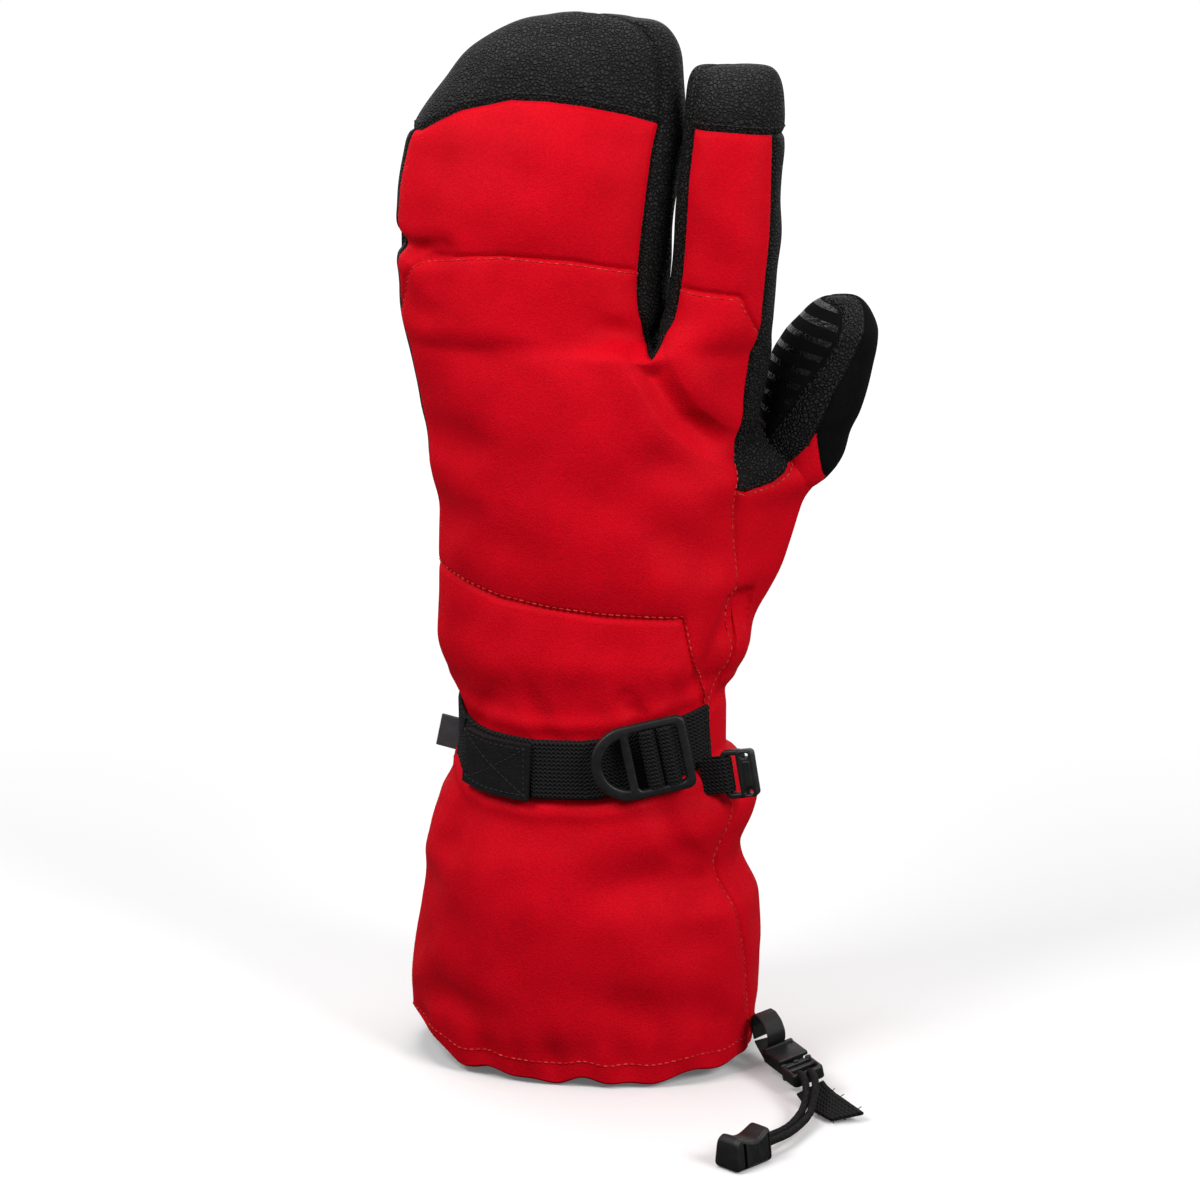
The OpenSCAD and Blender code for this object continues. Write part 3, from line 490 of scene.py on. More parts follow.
for distance, where in held:
    near = np.where(where, np.minimum(near, distance), near)
near = np.where((np.abs(z - CROTCH_Z) < 4) & (np.abs(flat_points[:, 0] - SLIT_X) < 6), 0, near)
pins = bag_object.vertex_groups.new(name="sewn")
for i, d in enumerate(near):
    weight = 1.0 if d < 2 else 0.75 * max(0.0, 1 - (d - 2) / 5)
    if weight > 0.02:
        pins.add([i], weight, "REPLACE")
cloth = bag_object.modifiers.new("filling", "CLOTH")
cloth.settings.quality = 5
cloth.settings.mass = 0.2
cloth.settings.tension_stiffness = cloth.settings.compression_stiffness = 12
cloth.settings.bending_stiffness = 1.5
cloth.settings.vertex_group_mass = "sewn"
cloth.settings.use_pressure = True
cloth.settings.uniform_pressure_force = 3.5
cloth.settings.shrink_min = -0.035
cloth.settings.effector_weights.gravity = 0
cloth.collision_settings.use_self_collision = False
cloth.collision_settings.use_collision = False
for number_of_frame in range(1, 21):
    bpy.context.scene.frame_set(number_of_frame)
filled = evaluated(bag_object).data
moved = np.empty(len(flat_points) * 3)
filled.vertices.foreach_get("co", moved)
shift = moved.reshape(-1, 3) * 1000 - flat_points
ends = np.array([(f[k], f[(k + 1) % len(f)]) for f in bag_faces for k in range(len(f))])
ends = np.concatenate([ends, ends[:, ::-1]])
neighbours = np.bincount(ends[:, 0], minlength=len(shift))[:, None]
for _ in range(5):
    total = np.stack([np.bincount(ends[:, 0], shift[ends[:, 1], k], len(shift))
                      for k in range(3)], 1)
    shift = 0.4 * shift + 0.6 * total / neighbours
shift[on_finger | on_index] *= 0.6
size = np.linalg.norm(shift, axis=1, keepdims=True)
MOST = 2.4
shift *= MOST * np.tanh(size / MOST) / np.maximum(size, 1e-6)
bag_object.modifiers.remove(cloth)
bag.vertices.foreach_set("co", ((flat_points + shift) / 1000).ravel())
bpy.context.scene.frame_set(1)

finer = bag_object.modifiers.new("finer", "SUBSURF")
finer.levels = finer.render_levels = 2
fine = evaluated(bag_object).data
count = len(fine.vertices)
# P is where each point is, R where it was before the filling. T has three points for a triangle.
P, R = np.empty(count * 3), np.empty(count * 3)
fine.vertices.foreach_get("co", P)
fine.attributes["rest"].data.foreach_get("vector", R)
P, R = P.reshape(-1, 3) * 1000, R.reshape(-1, 3)
Q = np.empty(len(fine.polygons) * 4, int)
fine.polygons.foreach_get("vertices", Q)
Q = Q.reshape(-1, 4)
panel = np.empty(len(Q), int)
fine.attributes["panel"].data.foreach_get("value", panel)
T = np.concatenate([Q[:, :3], Q[:, [0, 2, 3]]])
panel = np.concatenate([panel, panel])
bpy.data.objects.remove(bag_object)

# ---- Thumb stall ----
# A curved stall sewn to the foot of the hand: a ribbed grip inside, a leather rim and tip, and a
# black knit back. It is lofted finely and joins the bag's points, to be parted with it.

# Height, centre x, centre y, half width, half depth
THUMB = [
    (190, 61, 19, 6, 7), (197, 66, 22, 12, 13.4), (205, 68, 24, 15, 16.2),
    (212, 69.2, 24.2, 15.6, 16.7), (219, 71.2, 24.6, 16.7, 17.5), (229, 73.3, 25.1, 17.4, 17.5),
    (237, 75.2, 25.6, 17.2, 16.8), (245, 77.8, 26, 15.5, 15.3), (251, 79.5, 26, 12, 11.5),
    (255.5, 80.3, 26, 8.3, 7.5), (257.4, 80.8, 26, 5, 4.6), (258, 81, 26, 1.4, 1.2),
]
THUMB_COLS = 168
thumb_z = np.linspace(THUMB[0][0], THUMB[-1][0], 300)
thumb_rows = along(THUMB, thumb_z)
run = np.concatenate(([0], np.cumsum(np.hypot(np.diff(thumb_z), np.diff(thumb_rows[:, 2])))))
thumb_z = np.interp(np.linspace(0, run[-1], 96), run, thumb_z)
thumb_points = np.concatenate([
    spaced(outline(z, *row, 0, 0, 0, 2 * math.pi), THUMB_COLS)[:-1]
    for z, row in zip(thumb_z, along(THUMB, thumb_z))
] + [np.array([[81, 26, 258.05]])])
thumb_faces = []
for i in range(len(thumb_z) - 1):
    for j in range(THUMB_COLS):
        k = (j + 1) % THUMB_COLS
        a, b = i * THUMB_COLS + j, i * THUMB_COLS + k
        c, d = a + THUMB_COLS, b + THUMB_COLS
        thumb_faces += [(a, b, d), (a, d, c)]
last = (len(thumb_z) - 1) * THUMB_COLS
for j in range(THUMB_COLS):
    thumb_faces.append((last + j, last + (j + 1) % THUMB_COLS, len(thumb_points) - 1))
T = np.concatenate([T, np.array(thumb_faces) + len(P)])
panel = np.concatenate([panel, np.full(len(thumb_faces), THUMB_SKIN)])
P, R = np.concatenate([P, thumb_points]), np.concatenate([R, thumb_points])


def thumb_angle(r):
    """Degrees round the thumb, from +X through the palm side."""
    row = along(THUMB, r[:, 2])
    u, v = (r[:, 0] - row[:, 0]) / row[:, 2], (r[:, 1] - row[:, 1]) / row[:, 3]
    power = SQUARE / 2
    return np.degrees(np.arctan2(np.sign(v) * np.abs(v) ** power,
                                 np.sign(u) * np.abs(u) ** power)) % 360


MM_PER_DEGREE = 0.28


def grip_edge(r):
    z = r[:, 2]
    edge = line(z, (203, 150), (207, 190), (209, 215), (213, 238), (221, 256), (229, 267),
                (237, 277), (244, 284), (250, 286), (254, 280), (256, 262), (257.5, 200))
    a = thumb_angle(r)
    return np.minimum(edge - a, a - 158) * MM_PER_DEGREE


def rim_edge(r):
    edge = line(r[:, 2], (192, 281), (205, 283), (214, 289), (226, 295), (232, 303), (241, 313),
                (251, 330), (256, 345), (258, 352))
    a = thumb_angle(r)
    return np.minimum(edge - a, a - 150) * MM_PER_DEGREE


def red_foot(r):
    x, y, z = r.T
    level = line(x, (53.2, 201), (62.4, 200.5), (69.7, 206), (73.7, 210), (76, 214), (77.2, 206),
                 (78.5, 196))
    a = thumb_angle(r)
    return np.minimum(level - z, np.minimum(a - 185, 352 - a) * MM_PER_DEGREE)


def grip_strip(r):
    x, y, z = r.T
    slant = z + 0.28 * (x - 70)
    strips = np.cos(2 * math.pi * (slant - 206.5) / 5.6) - math.cos(math.pi * 2.0 / 5.6)
    a = thumb_angle(r)
    inside = np.minimum(grip_edge(r) - 1.3, a / 10 - 16.6)
    return np.minimum(strips * 1.2, inside)


def normals_of(points, triangles):
    a, b, c = (points[triangles[:, k]] for k in range(3))
    face = np.cross(b - a, c - a)
    total = np.stack([np.bincount(triangles.ravel(), np.repeat(face[:, k], 3), len(points))
                      for k in range(3)], 1)
    return total / np.maximum(np.linalg.norm(total, axis=1, keepdims=True), 1e-9)


# ---- Parting the bag into panels ----
# Each panel of softshell, leather or knit is its own piece, as it is cut for sewing. A cut runs
# along a seam's zero line and leaves a clean sewn edge on both sides.

def lerp(values, i, j, t):
    return values[i] * (1 - t[:, None]) + values[j] * t[:, None]


def cut(field, where):
    """Splits the triangles in where along the field's zero line. They keep their panel number."""
    global P, R, T, panel
    f = field(R)
    f = np.where(np.abs(f) < 1e-4, 1e-4, f)
    above = f[T] > 0
    crossing = where & above.any(1) & ~above.all(1)
    C, A = T[crossing], above[crossing]
    lone = np.argmax(A == (A.sum(1) == 1)[:, None], 1)
    rows = np.arange(len(C))
    a, b, c = (C[rows, (lone + k) % 3] for k in range(3))
    pairs = np.sort(np.stack([np.concatenate([a, a]), np.concatenate([b, c])], 1), 1)
    unique, back_to = np.unique(pairs, axis=0, return_inverse=True)
    back_to = back_to.ravel()
    i, j = unique.T
    t = f[i] / (f[i] - f[j])
    new = len(P) + back_to
    P, R = np.concatenate([P, lerp(P, i, j, t)]), np.concatenate([R, lerp(R, i, j, t)])
    ab, ac = new[: len(C)], new[len(C):]
    kept, number = T[~crossing], panel[~crossing]
    T = np.concatenate([kept, np.stack([a, ab, ac], 1), np.stack([ab, b, c], 1),
                        np.stack([ab, c, ac], 1)])
    panel = np.concatenate([number] + [panel[crossing]] * 3)


# The first seven are the lofted skins, in the order of their numbers above.
names = [
    "mid_back_fingers", "mid_back_index", "finger_back", "finger_gusset", "index_back",
    "index_gusset", "thumb_back", "gauntlet_back", "gauntlet_palm", "lower_back", "hand_palm",
    "thumb_side", "web_panel", "finger_cap", "finger_palm", "index_cap", "index_palm",
    "middle_fingers", "middle_index", "side_left", "side_right", "cut_off", "thumb_grip",
    "thumb_rim", "thumb_red", "grip_strips", "palm_patch",
]
ids = {name: k for k, name in enumerate(names)}


def split(old, field, new):
    """The side of a panel where the field is positive becomes a new panel."""
    global panel
    cut(field, panel == ids[old])
    panel = np.where((panel == ids[old]) & (field(R[T].mean(1)) > 0), ids[new], panel)


def join(old, new):
    global panel
    panel = np.where(panel == ids[old], ids[new], panel)


split("mid_back_fingers", lambda r: -strap_line(r), "gauntlet_back")
split("mid_back_index", lambda r: -strap_line(r), "cut_off")
join("cut_off", "gauntlet_back")
split("gauntlet_back", side_seam, "gauntlet_palm")
split("mid_back_fingers", side_seam, "side_left")
split("mid_back_index", side_seam, "side_right")
join("side_left", "hand_palm")
split("side_right", palm_edge, "cut_off")
join("cut_off", "hand_palm")
split("side_right", web_seam, "web_panel")
join("side_right", "thumb_side")
split("mid_back_fingers", lambda r: -lower_seam(r), "lower_back")
split("mid_back_index", lambda r: -lower_seam(r), "cut_off")
join("cut_off", "lower_back")
split("finger_back", finger_cap_seam, "finger_cap")
split("finger_back", side_seam, "finger_palm")
split("finger_back", lambda r: -finger_middle_seam(r), "middle_fingers")
split("index_back", index_cap_seam, "index_cap")
split("index_back", side_seam, "index_palm")
split("index_back", lambda r: -index_middle_seam(r), "middle_index")
split("thumb_back", rim_edge, "thumb_rim")
split("thumb_rim", grip_edge, "thumb_grip")
split("thumb_grip", grip_strip, "grip_strips")
split("thumb_rim", red_foot, "thumb_red")
split("thumb_back", red_foot, "cut_off")
join("cut_off", "thumb_red")
split("hand_palm", palm_patch, "palm_patch")


# ---- Relief of the sewn bag ----
# The thread of each seam draws the fabric in. The fabric folds where the hand bends and the slit
# begins, and it puckers at the hem and under the strap.

def points_of(*panels):
    """Which points of the bag belong to the panels."""
    inside = np.zeros(len(P), bool)
    inside[T[np.isin(panel, [ids[n] for n in panels])]] = True
    return inside


def border_points(first, second):
    """Points shared by two sets of panels."""
    return P[points_of(*first) & points_of(*second)]


def distance_to(points, reach):
    tree = KDTree(len(points))
    for k, point in enumerate(points):
        tree.insert(point, k)
    tree.balance()
    low, high = points.min(0) - reach, points.max(0) + reach
    d = np.full(len(P), 1e3)
    for k in np.flatnonzero(((P > low) & (P < high)).all(1)):
        d[k] = tree.find(P[k])[2]
    return d


SEAMS = [
    ("lower", ["lower_back"], ["mid_back_fingers", "mid_back_index"], 0.9),
    ("side", ["lower_back", "mid_back_fingers", "mid_back_index"],
     ["hand_palm", "thumb_side", "web_panel"], 1.2),
    ("gauntlet_side", ["gauntlet_back"], ["gauntlet_palm"], 1.0),
    ("finger_middle", ["finger_back"], ["middle_fingers"], 0.9),
    ("index_middle", ["index_back"], ["middle_index"], 0.9),
    ("finger_cap", ["finger_cap"], ["finger_back", "finger_palm"], 0.8),
    ("index_cap", ["index_cap"], ["index_back", "index_palm"], 0.8),
    ("finger_edge", ["finger_back", "middle_fingers"], ["finger_gusset", "finger_palm"], 1.2),
    ("index_edge", ["index_back", "middle_index"], ["index_gusset", "index_palm"], 1.2),
    ("cap_edges", ["finger_cap", "index_cap"], ["finger_gusset", "index_gusset"], 0.7),
    ("web", ["web_panel"], ["thumb_side", "hand_palm"], 1.0),
    ("palm_edge", ["hand_palm"], ["thumb_side"], 1.0),
    ("grip_rim", ["thumb_grip"], ["thumb_rim"], 0.5),
    ("thumb_back", ["thumb_back"], ["thumb_rim", "thumb_red", "thumb_grip"], 0.5),
    ("thumb_red", ["thumb_rim"], ["thumb_red"], 0.5),
    ("patch", ["palm_patch"], ["hand_palm"], 0.2),
]
seam_distance = {}
N = normals_of(P, T)
inward = np.zeros(len(P))
in_patch = points_of("palm_patch")
on_thumb = points_of("thumb_back", "thumb_grip", "thumb_rim", "thumb_red", "grip_strips")
for name, first, second, depth in SEAMS:
    points = border_points(first, second)
    d = distance_to(points, 14)
    seam_distance[name] = d
    groove = np.exp(-((d / 0.9) ** 2)) + 0.55 * np.exp(-((d / 3.6) ** 2))
    inward = np.maximum(inward, depth * groove)
inward -= np.where(in_patch, 1.1 * ease(seam_distance["patch"] / 1.6), 0)
P = P - N * inward[:, None]

# Each fold: points on the bag's back (x, z), width, depth.
FOLDS = [
    ([(27, 241), (32, 232), (38, 223), (45, 216), (53, 211)], 5.0, 4.2),
    ([(27, 242), (17, 249), (6, 254)], 4.0, 1.3),
    ([(-62, 276), (-53, 274), (-42, 275)], 3.4, 2.8),
    ([(-60, 262), (-50, 254), (-38, 250)], 5.0, 0.9),
    ([(54, 160), (49, 147), (44, 136), (40, 127)], 4.0, 3.2),
    ([(53, 190), (48, 178), (44, 166)], 6.0, 0.9),
    ([(49, 142), (46, 134), (44, 126)], 2.4, 1.4),
    ([(24, 121), (24, 126), (21, 131)], 3.0, 1.8),
    ([(8, 119), (10, 126), (8, 134)], 5.0, 0.7),
    ([(-6, 119), (-10, 128), (-18, 137)], 4.5, 0.8),
    ([(-30, 119), (-27, 126), (-22, 131)], 3.6, 1.0),
    ([(34, 122), (36, 130), (35, 142)], 3.2, 0.7),
    ([(-30, 96), (-36, 84), (-44, 70)], 5.0, 1.0),
    ([(2, 97), (0, 84), (-4, 70)], 5.0, 0.6),
    ([(30, 99), (36, 86), (44, 72)], 4.5, 1.1),
    ([(-48, 60), (-38, 50), (-30, 36)], 8.0, 0.9),
    ([(-50, 22), (-40, 26), (-26, 22)], 6.0, 0.8),
    ([(44, 60), (46, 44), (50, 26)], 7.0, 0.9),
    ([(-46, 214), (-30, 206), (-12, 204)], 9.0, 0.8),
    ([(-48, 190), (-34, 186), (-20, 188)], 7.0, 0.7),
    ([(4, 200), (22, 196), (40, 202)], 9.0, 0.7),
]
N = normals_of(P, T)
on_back = (P[:, 1] < 2) & ~on_thumb
sunk, raised = np.zeros(len(P)), np.zeros(len(P))
for knots, width, depth in FOLDS:
    path = spaced(np.array(knots, float), 24)
    d = np.full(len(P), 1e3)
    flat = P[:, [0, 2]]
    for a, b in zip(path, path[1:]):
        ab = b - a
        t = np.clip(((flat - a) @ ab) / (ab @ ab), 0, 1)
        d = np.minimum(d, np.linalg.norm(flat - a - t[:, None] * ab, axis=1))
    ends = np.linalg.norm(flat - path[-1], axis=1)
    fade = ease(ends / (width * 2.5)) * 0.7 + 0.3
    shape = np.exp(-((d / width) ** 2)) - 0.35 * np.exp(-(((d - 1.9 * width) / width) ** 2))
    pressed = np.where(on_back, depth * shape * fade, 0)
    sunk += np.maximum(pressed, 0) ** 3
    raised += np.minimum(pressed, 0)
fold = np.cbrt(sunk) + 0.4 * raised
fold *= ease((np.hypot(P[:, 0] - 27, P[:, 2] - 244) - 1.5) / 6)
x, y, z = R.T
drift = (0.4 * np.sin(x / 9 + z / 17) * np.sin(z / 11 - x / 23 + 1)
         + 0.16 * np.sin(x / 5 - z / 9 + 2) * np.sin(y / 7 + z / 13))
quiet = ease((z - 14) / 20) * (1 - 0.75 * ease((z - 300) / 20))
P = P - N * (fold - drift * quiet * np.where(on_thumb, 0.3, 1))[:, None]
# The hem lifts off the floor at both sides, most at the little finger, and ripples.
angle = np.arctan2(y, x)
away = np.abs((np.degrees(angle) + 162 + 180) % 360 - 180)
lift = (5.0 * np.abs(np.cos(angle)) ** 5 + 9.0 * np.exp(-((away / 24) ** 2))
        + 1.2 * np.sin(angle * 9 + 1) + 0.8 * np.sin(angle * 17))
P[:, 2] += np.maximum(0, 1 - z / 30) ** 2 * (lift + 3.4) * 0.8
ripple = (0.9 * np.sin(angle * 11) + 0.6 * np.sin(angle * 23 + 1)) * np.exp(-(((z - 8) / 9) ** 2))
P = P - N * ripple[:, None] * 0.8
# The strap is drawn tight, so the bag is pinched under it and swells at both of its edges.
STRAP_W, WEB_T, WAIST_X = 20.0, 1.5, 2.5


def strap_height(x):
    return line(x, (-41.5, 117), (-39.5, 114.6), (-37, 111.2), (-33, 108.8), (-26, 107.4),
                (-10, 106.4), (8, 107),
                (20, 109), (32, 112.6), (46, 117.5))


def turn_of(q):
    return np.degrees(np.arctan2(q[:, 1], q[:, 0] - WAIST_X)) % 360


dz = P[:, 2] - strap_height(P[:, 0])
radius = np.hypot(P[:, 0] - WAIST_X, P[:, 1])
near_strap = (np.abs(dz) < 8) & ~on_thumb
steps = np.arange(0, 360, 3.0)
turns = turn_of(P)
loose = np.array([radius[near_strap & (np.abs((turns - a + 180) % 360 - 180) < 3)].mean()
                  for a in steps])
for _ in range(3):
    loose = (np.roll(loose, 1) + 2 * loose + np.roll(loose, -1)) / 4
loose -= 0.4


def strap_radius(a):
    return np.interp(a % 360, np.append(steps, 360), np.append(loose, loose[0]))


pinch = 1 - ease((np.abs(dz) - STRAP_W / 2 + 0.8) / 3.2)
swell = 1.1 * np.exp(-(((np.abs(dz) - STRAP_W / 2 - 4.5) / 3.0) ** 2))
held_in = np.minimum(radius, strap_radius(turns) - 0.15)
new_radius = np.where(on_thumb | (P[:, 2] > 150) | (P[:, 2] < 80), radius,
                      radius + (held_in - radius) * pinch + swell)
P[:, 0] = WAIST_X + (P[:, 0] - WAIST_X) * new_radius / radius
P[:, 1] *= new_radius / radius
N = normals_of(P, T)

# ---- Shell panels ----
# Woven softshell on the back and the gauntlet, pebbled synthetic leather on the palm, the gussets
# and the tips, and a black knit with printed grip strips on the thumb, all sewn edge to edge.


def weave(p):
    return p.noise(2600, 1.0) * 0.6 + p.noise(900, 2.0) * 0.4


softshell = finish(
    "softshell",
    lambda p: (p.noise(1900, 2.0) * 0.6 + p.noise(60, 3.0) * 0.4).step(0.3, 0.7).tint(
        (0.52, 0.0008, 0.0075), (0.70, 0.0022, 0.0125)),
    weave, 0.00025, lambda p: p.noise(700) * 0.2 + 0.5, Specular_IOR_Level=0.045,
)


def pebbles(p):
    return p.cells(780, "DISTANCE_TO_EDGE").step(0.0, 0.30) * 0.75 + p.noise(1500, 3.0) * 0.5


leather = finish(
    "leather",
    lambda p: (pebbles(p) * 0.8 + p.noise(3000, 1.0) * 0.3).step(0.35, 1.05).tint(
        (0.0018, 0.0018, 0.0018), (0.0180, 0.0180, 0.0175)),
    pebbles, 0.0007, lambda p: p.noise(1200) * 0.25 + 0.40, Specular_IOR_Level=0.13,
)


def shell_piece(name, numbers, material):
    chosen = T[np.isin(panel, [ids[n] for n in numbers])]
    used, local = np.unique(chosen, return_inverse=True)
    mesh = bpy.data.meshes.new(name)
    mesh.from_pydata(list(map(tuple, P[used] / 1000)), [], local.reshape(-1, 3).tolist())
    mesh.shade_smooth()
    mesh.normals_split_custom_set_from_vertices(list(map(tuple, N[used])))
    piece = in_scene(name, mesh)
    mesh.materials.append(material)
    return piece


KNUCKLE_LOW, KNUCKLE_HIGH = 0.2433, 0.2677
bend = {
    "fingers": ((-0.019, 0, KNUCKLE_LOW), (-0.019, 0, KNUCKLE_HIGH)),
    "index": ((0.045, -0.004, KNUCKLE_LOW), (0.045, -0.004, KNUCKLE_HIGH)),
    "thumb": ((0.0695, 0.024, 0.2053), (0.0695, 0.024, 0.2187)),
}


def join_body(piece, body):
    if body in bend:
        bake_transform(piece)
    else:
        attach(piece, body)
    return piece


knit = finish(
    "thumb_knit",
    lambda p: (p.noise(2600, 1.0) * 0.7 + p.noise(160) * 0.3).step(0.3, 0.75).tint(
        (0.0022, 0.0022, 0.0023), (0.0062, 0.0062, 0.0064)),
    weave, 0.0002, 0.85, Specular_IOR_Level=0.04,
)
print_gloss = finish(
    "grip_print",
    lambda p: p.noise(900).tint((0.0015, 0.0015, 0.0015), (0.005, 0.005, 0.005)),
    lambda p: p.noise(900, 3.0), 0.0005, lambda p: p.noise(1100) * 0.2 + 0.14,
    Specular_IOR_Level=0.16,
)
# Piece, its panels, its finish, its body, and the nodes it stands for
shell = [
    ("gauntlet_back", ["gauntlet_back"], softshell, "hand",
     ["gauntlet_back_panel", "gauntlet_hem"]),
    ("gauntlet_palm", ["gauntlet_palm"], softshell, "hand", ["gauntlet_palm_panel"]),
    ("lower_back", ["lower_back"], softshell, "hand", ["hand_back_panel"]),
    ("middle_back_fingers", ["mid_back_fingers", "middle_fingers"], softshell, "fingers",
     ["mitt_knuckle_zone"]),
    ("middle_back_index", ["mid_back_index", "middle_index"], softshell, "index",
     ["index_knuckle_zone"]),
    ("finger_back", ["finger_back"], softshell, "fingers", ["mitt_back_panel"]),
    ("index_back", ["index_back"], softshell, "index", ["index_back_panel"]),
    ("thumb_side", ["thumb_side"], softshell, "hand", ["thumb_side_panel"]),
    ("hand_palm", ["hand_palm"], leather, "hand", ["hand_palm_panel"]),
    ("palm_patch", ["palm_patch"], leather, "hand", ["palm_reinforcement"]),
    ("web_panel", ["web_panel"], leather, "hand", ["thumb_crotch_panel"]),
    ("finger_gusset", ["finger_gusset"], leather, "fingers", ["mitt_gusset"]),
    ("finger_palm", ["finger_palm"], leather, "fingers", ["mitt_palm_panel"]),
    ("finger_cap", ["finger_cap"], leather, "fingers", ["mitt_cap"]),
    ("index_gusset", ["index_gusset"], leather, "index", ["index_gusset"]),
    ("index_palm", ["index_palm"], leather, "index", ["index_palm_panel"]),
    ("index_cap", ["index_cap"], leather, "index", ["index_cap"]),
    ("thumb_rim", ["thumb_rim"], leather, "thumb", ["thumb_rim"]),
    ("thumb_foot", ["thumb_red"], softshell, "thumb", ["thumb_base_zone"]),
    ("thumb_grip", ["thumb_grip"], knit, "thumb", ["thumb_grip_panel"]),
    ("thumb_grip_strips", ["grip_strips"], print_gloss, "thumb", ["thumb_grip_bars"]),
    ("thumb_back", ["thumb_back"], knit, "thumb", ["thumb_back_panel"]),
]
for name, numbers, material, body, nodes in shell:
    piece = shell_piece("shell_" + name, numbers, material)
    join_body(piece, body)
    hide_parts(*nodes)
    stuffed_leather = ("hand_palm", "finger_palm", "finger_cap", "index_palm", "index_cap")
    material is softshell or name in stuffed_leather


def make(name, points, faces, material, uv=None, sharp=40):
    """A piece from points in millimetres."""
    mesh = bpy.data.meshes.new(name)
    mesh.from_pydata([tuple(q) for q in np.asarray(points, float) / 1000], [], faces)
    mesh.shade_smooth()
    mesh.set_sharp_from_angle(angle=math.radians(sharp))
    if uv is not None:
        layer = mesh.uv_layers.new(name="along")
        corner = np.empty(len(mesh.loops), int)
        mesh.loops.foreach_get("vertex_index", corner)
        layer.data.foreach_set("uv", np.asarray(uv, float)[corner].ravel())
    mesh.materials.append(material)
    piece = in_scene(name, mesh)
    return piece


# ---- Hem and lining ----
# The softshell is turned up inside the opening into a channel for the drawcord, and a dark fleece
# bag, sewn to it, lines the gauntlet and every stall over the batting.

edge_use = {}
for a, b, c in T[np.isin(panel, [ids["gauntlet_back"], ids["gauntlet_palm"]])]:
    for pair in ((a, b), (b, c), (c, a)):
        edge_use[pair] = True
rim_next = {a: b for a, b in edge_use if (b, a) not in edge_use and R[a, 2] < 1 and R[b, 2] < 1}
loop = [next(iter(rim_next))]
while rim_next[loop[-1]] != loop[0]:
    loop.append(rim_next[loop[-1]])
loop = np.array(loop)
rim = P[loop]
toward = np.stack([-rim[:, 0], -rim[:, 1] * 1.4, np.zeros(len(rim))], 1)
toward /= np.linalg.norm(toward, axis=1, keepdims=True)
turned = [(0, 0), (0.5, -0.7), (1.6, -1.1), (3.4, -1.1), (4.8, -0.6), (5.6, 0.6), (5.8, 3), (6, 8),
          (6.2, 13)]
rows = [rim + toward * inset + np.array([0, 0, 1]) * up for inset, up in turned]


def tube_faces(rings, count):
    """Faces between closed rings of count points, and last the two that close its ends."""
    faces = [(i * count + j, i * count + (j + 1) % count,
              (i + 1) * count + (j + 1) % count, (i + 1) * count + j)
             for i in range(rings - 1) for j in range(count)]
    faces += [tuple(range(count))[::-1], tuple(range((rings - 1) * count, rings * count))]
    return [f[::-1] for f in faces]


hem = make("hem_fold", np.concatenate(rows), tube_faces(len(rows), len(loop))[:-2], softshell,
           sharp=80)
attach(hem, "hand")
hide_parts("hem_drawcord")

fleece = finish(
    "fleece",
    lambda p: (p.noise(900, 3.0) * 0.6 + p.cells(500) * 0.4).step(0.2, 0.8).tint(
        (0.010, 0.010, 0.011), (0.030, 0.030, 0.032)),
    lambda p: p.noise(700, 4.0), 0.0009, 0.95, Specular_IOR_Level=0.1,
)
coarse_normals = normals_of(flat_points, np.concatenate(
    [[(f[0], f[1], f[2]) for f in bag_faces],
     [(f[0], f[2], f[3]) for f in bag_faces if len(f) == 4]]))
BATTING = 8.5
inner = flat_points - coarse_normals * BATTING
inner[:, 2] = np.where(flat_points[:, 2] < 1, 14, inner[:, 2])
for name, wanted, body, nodes in (
    ("lining_hand", (BODY_LEFT, BODY_RIGHT), "hand",
     ["gauntlet_lining", "gauntlet_insulation", "wrist_elastic", "hand_membrane", "hand_insulation",
      "hand_lining", "finger_fork"]),
    ("lining_fingers", (FINGER_SKIN, FINGER_GUSSET), "fingers",
     ["mitt_membrane", "mitt_insulation", "mitt_lining"]),
    ("lining_index", (INDEX_SKIN, INDEX_GUSSET), "index",
     ["index_membrane", "index_insulation", "index_lining"]),
):
    chosen = [f for f, k in zip(bag_faces, bag_panels)
              if k in wanted and min(flat_points[list(f), 2]) > 10]
    used = sorted({i for f in chosen for i in f})
    local = {i: k for k, i in enumerate(used)}
    piece = make(name, inner[used], [tuple(local[i] for i in f[::-1]) for f in chosen], fleece)
    join_body(piece, body)
    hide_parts(*nodes)
THUMB_LINING_SHARE = 0.55
thumb_lining_points = thumb_points.copy()
middle = np.array([[*row[:2], z] for z, row in zip(thumb_z, along(THUMB, thumb_z))])
for i in range(len(thumb_z)):
    part_of = slice(i * THUMB_COLS, (i + 1) * THUMB_COLS)
    from_middle = (thumb_points[part_of] - middle[i]) * THUMB_LINING_SHARE
    thumb_lining_points[part_of] = middle[i] + from_middle
    thumb_lining_points[part_of, 2] -= 6 * ease((thumb_z[i] - 235) / 20)
thumb_lining_points[-1, 2] -= 6
piece = make("lining_thumb", thumb_lining_points, [f[::-1] for f in thumb_faces], fleece)
join_body(piece, "thumb")
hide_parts("thumb_membrane", "thumb_insulation", "thumb_lining")

# ---- Stitching ----
# Lockstitches of bonded thread, about 2 mm long, sit a little beside each seam and hold its edge
# down. Geometry Nodes place one small sphere, drawn out into a stitch, at each step of a line.

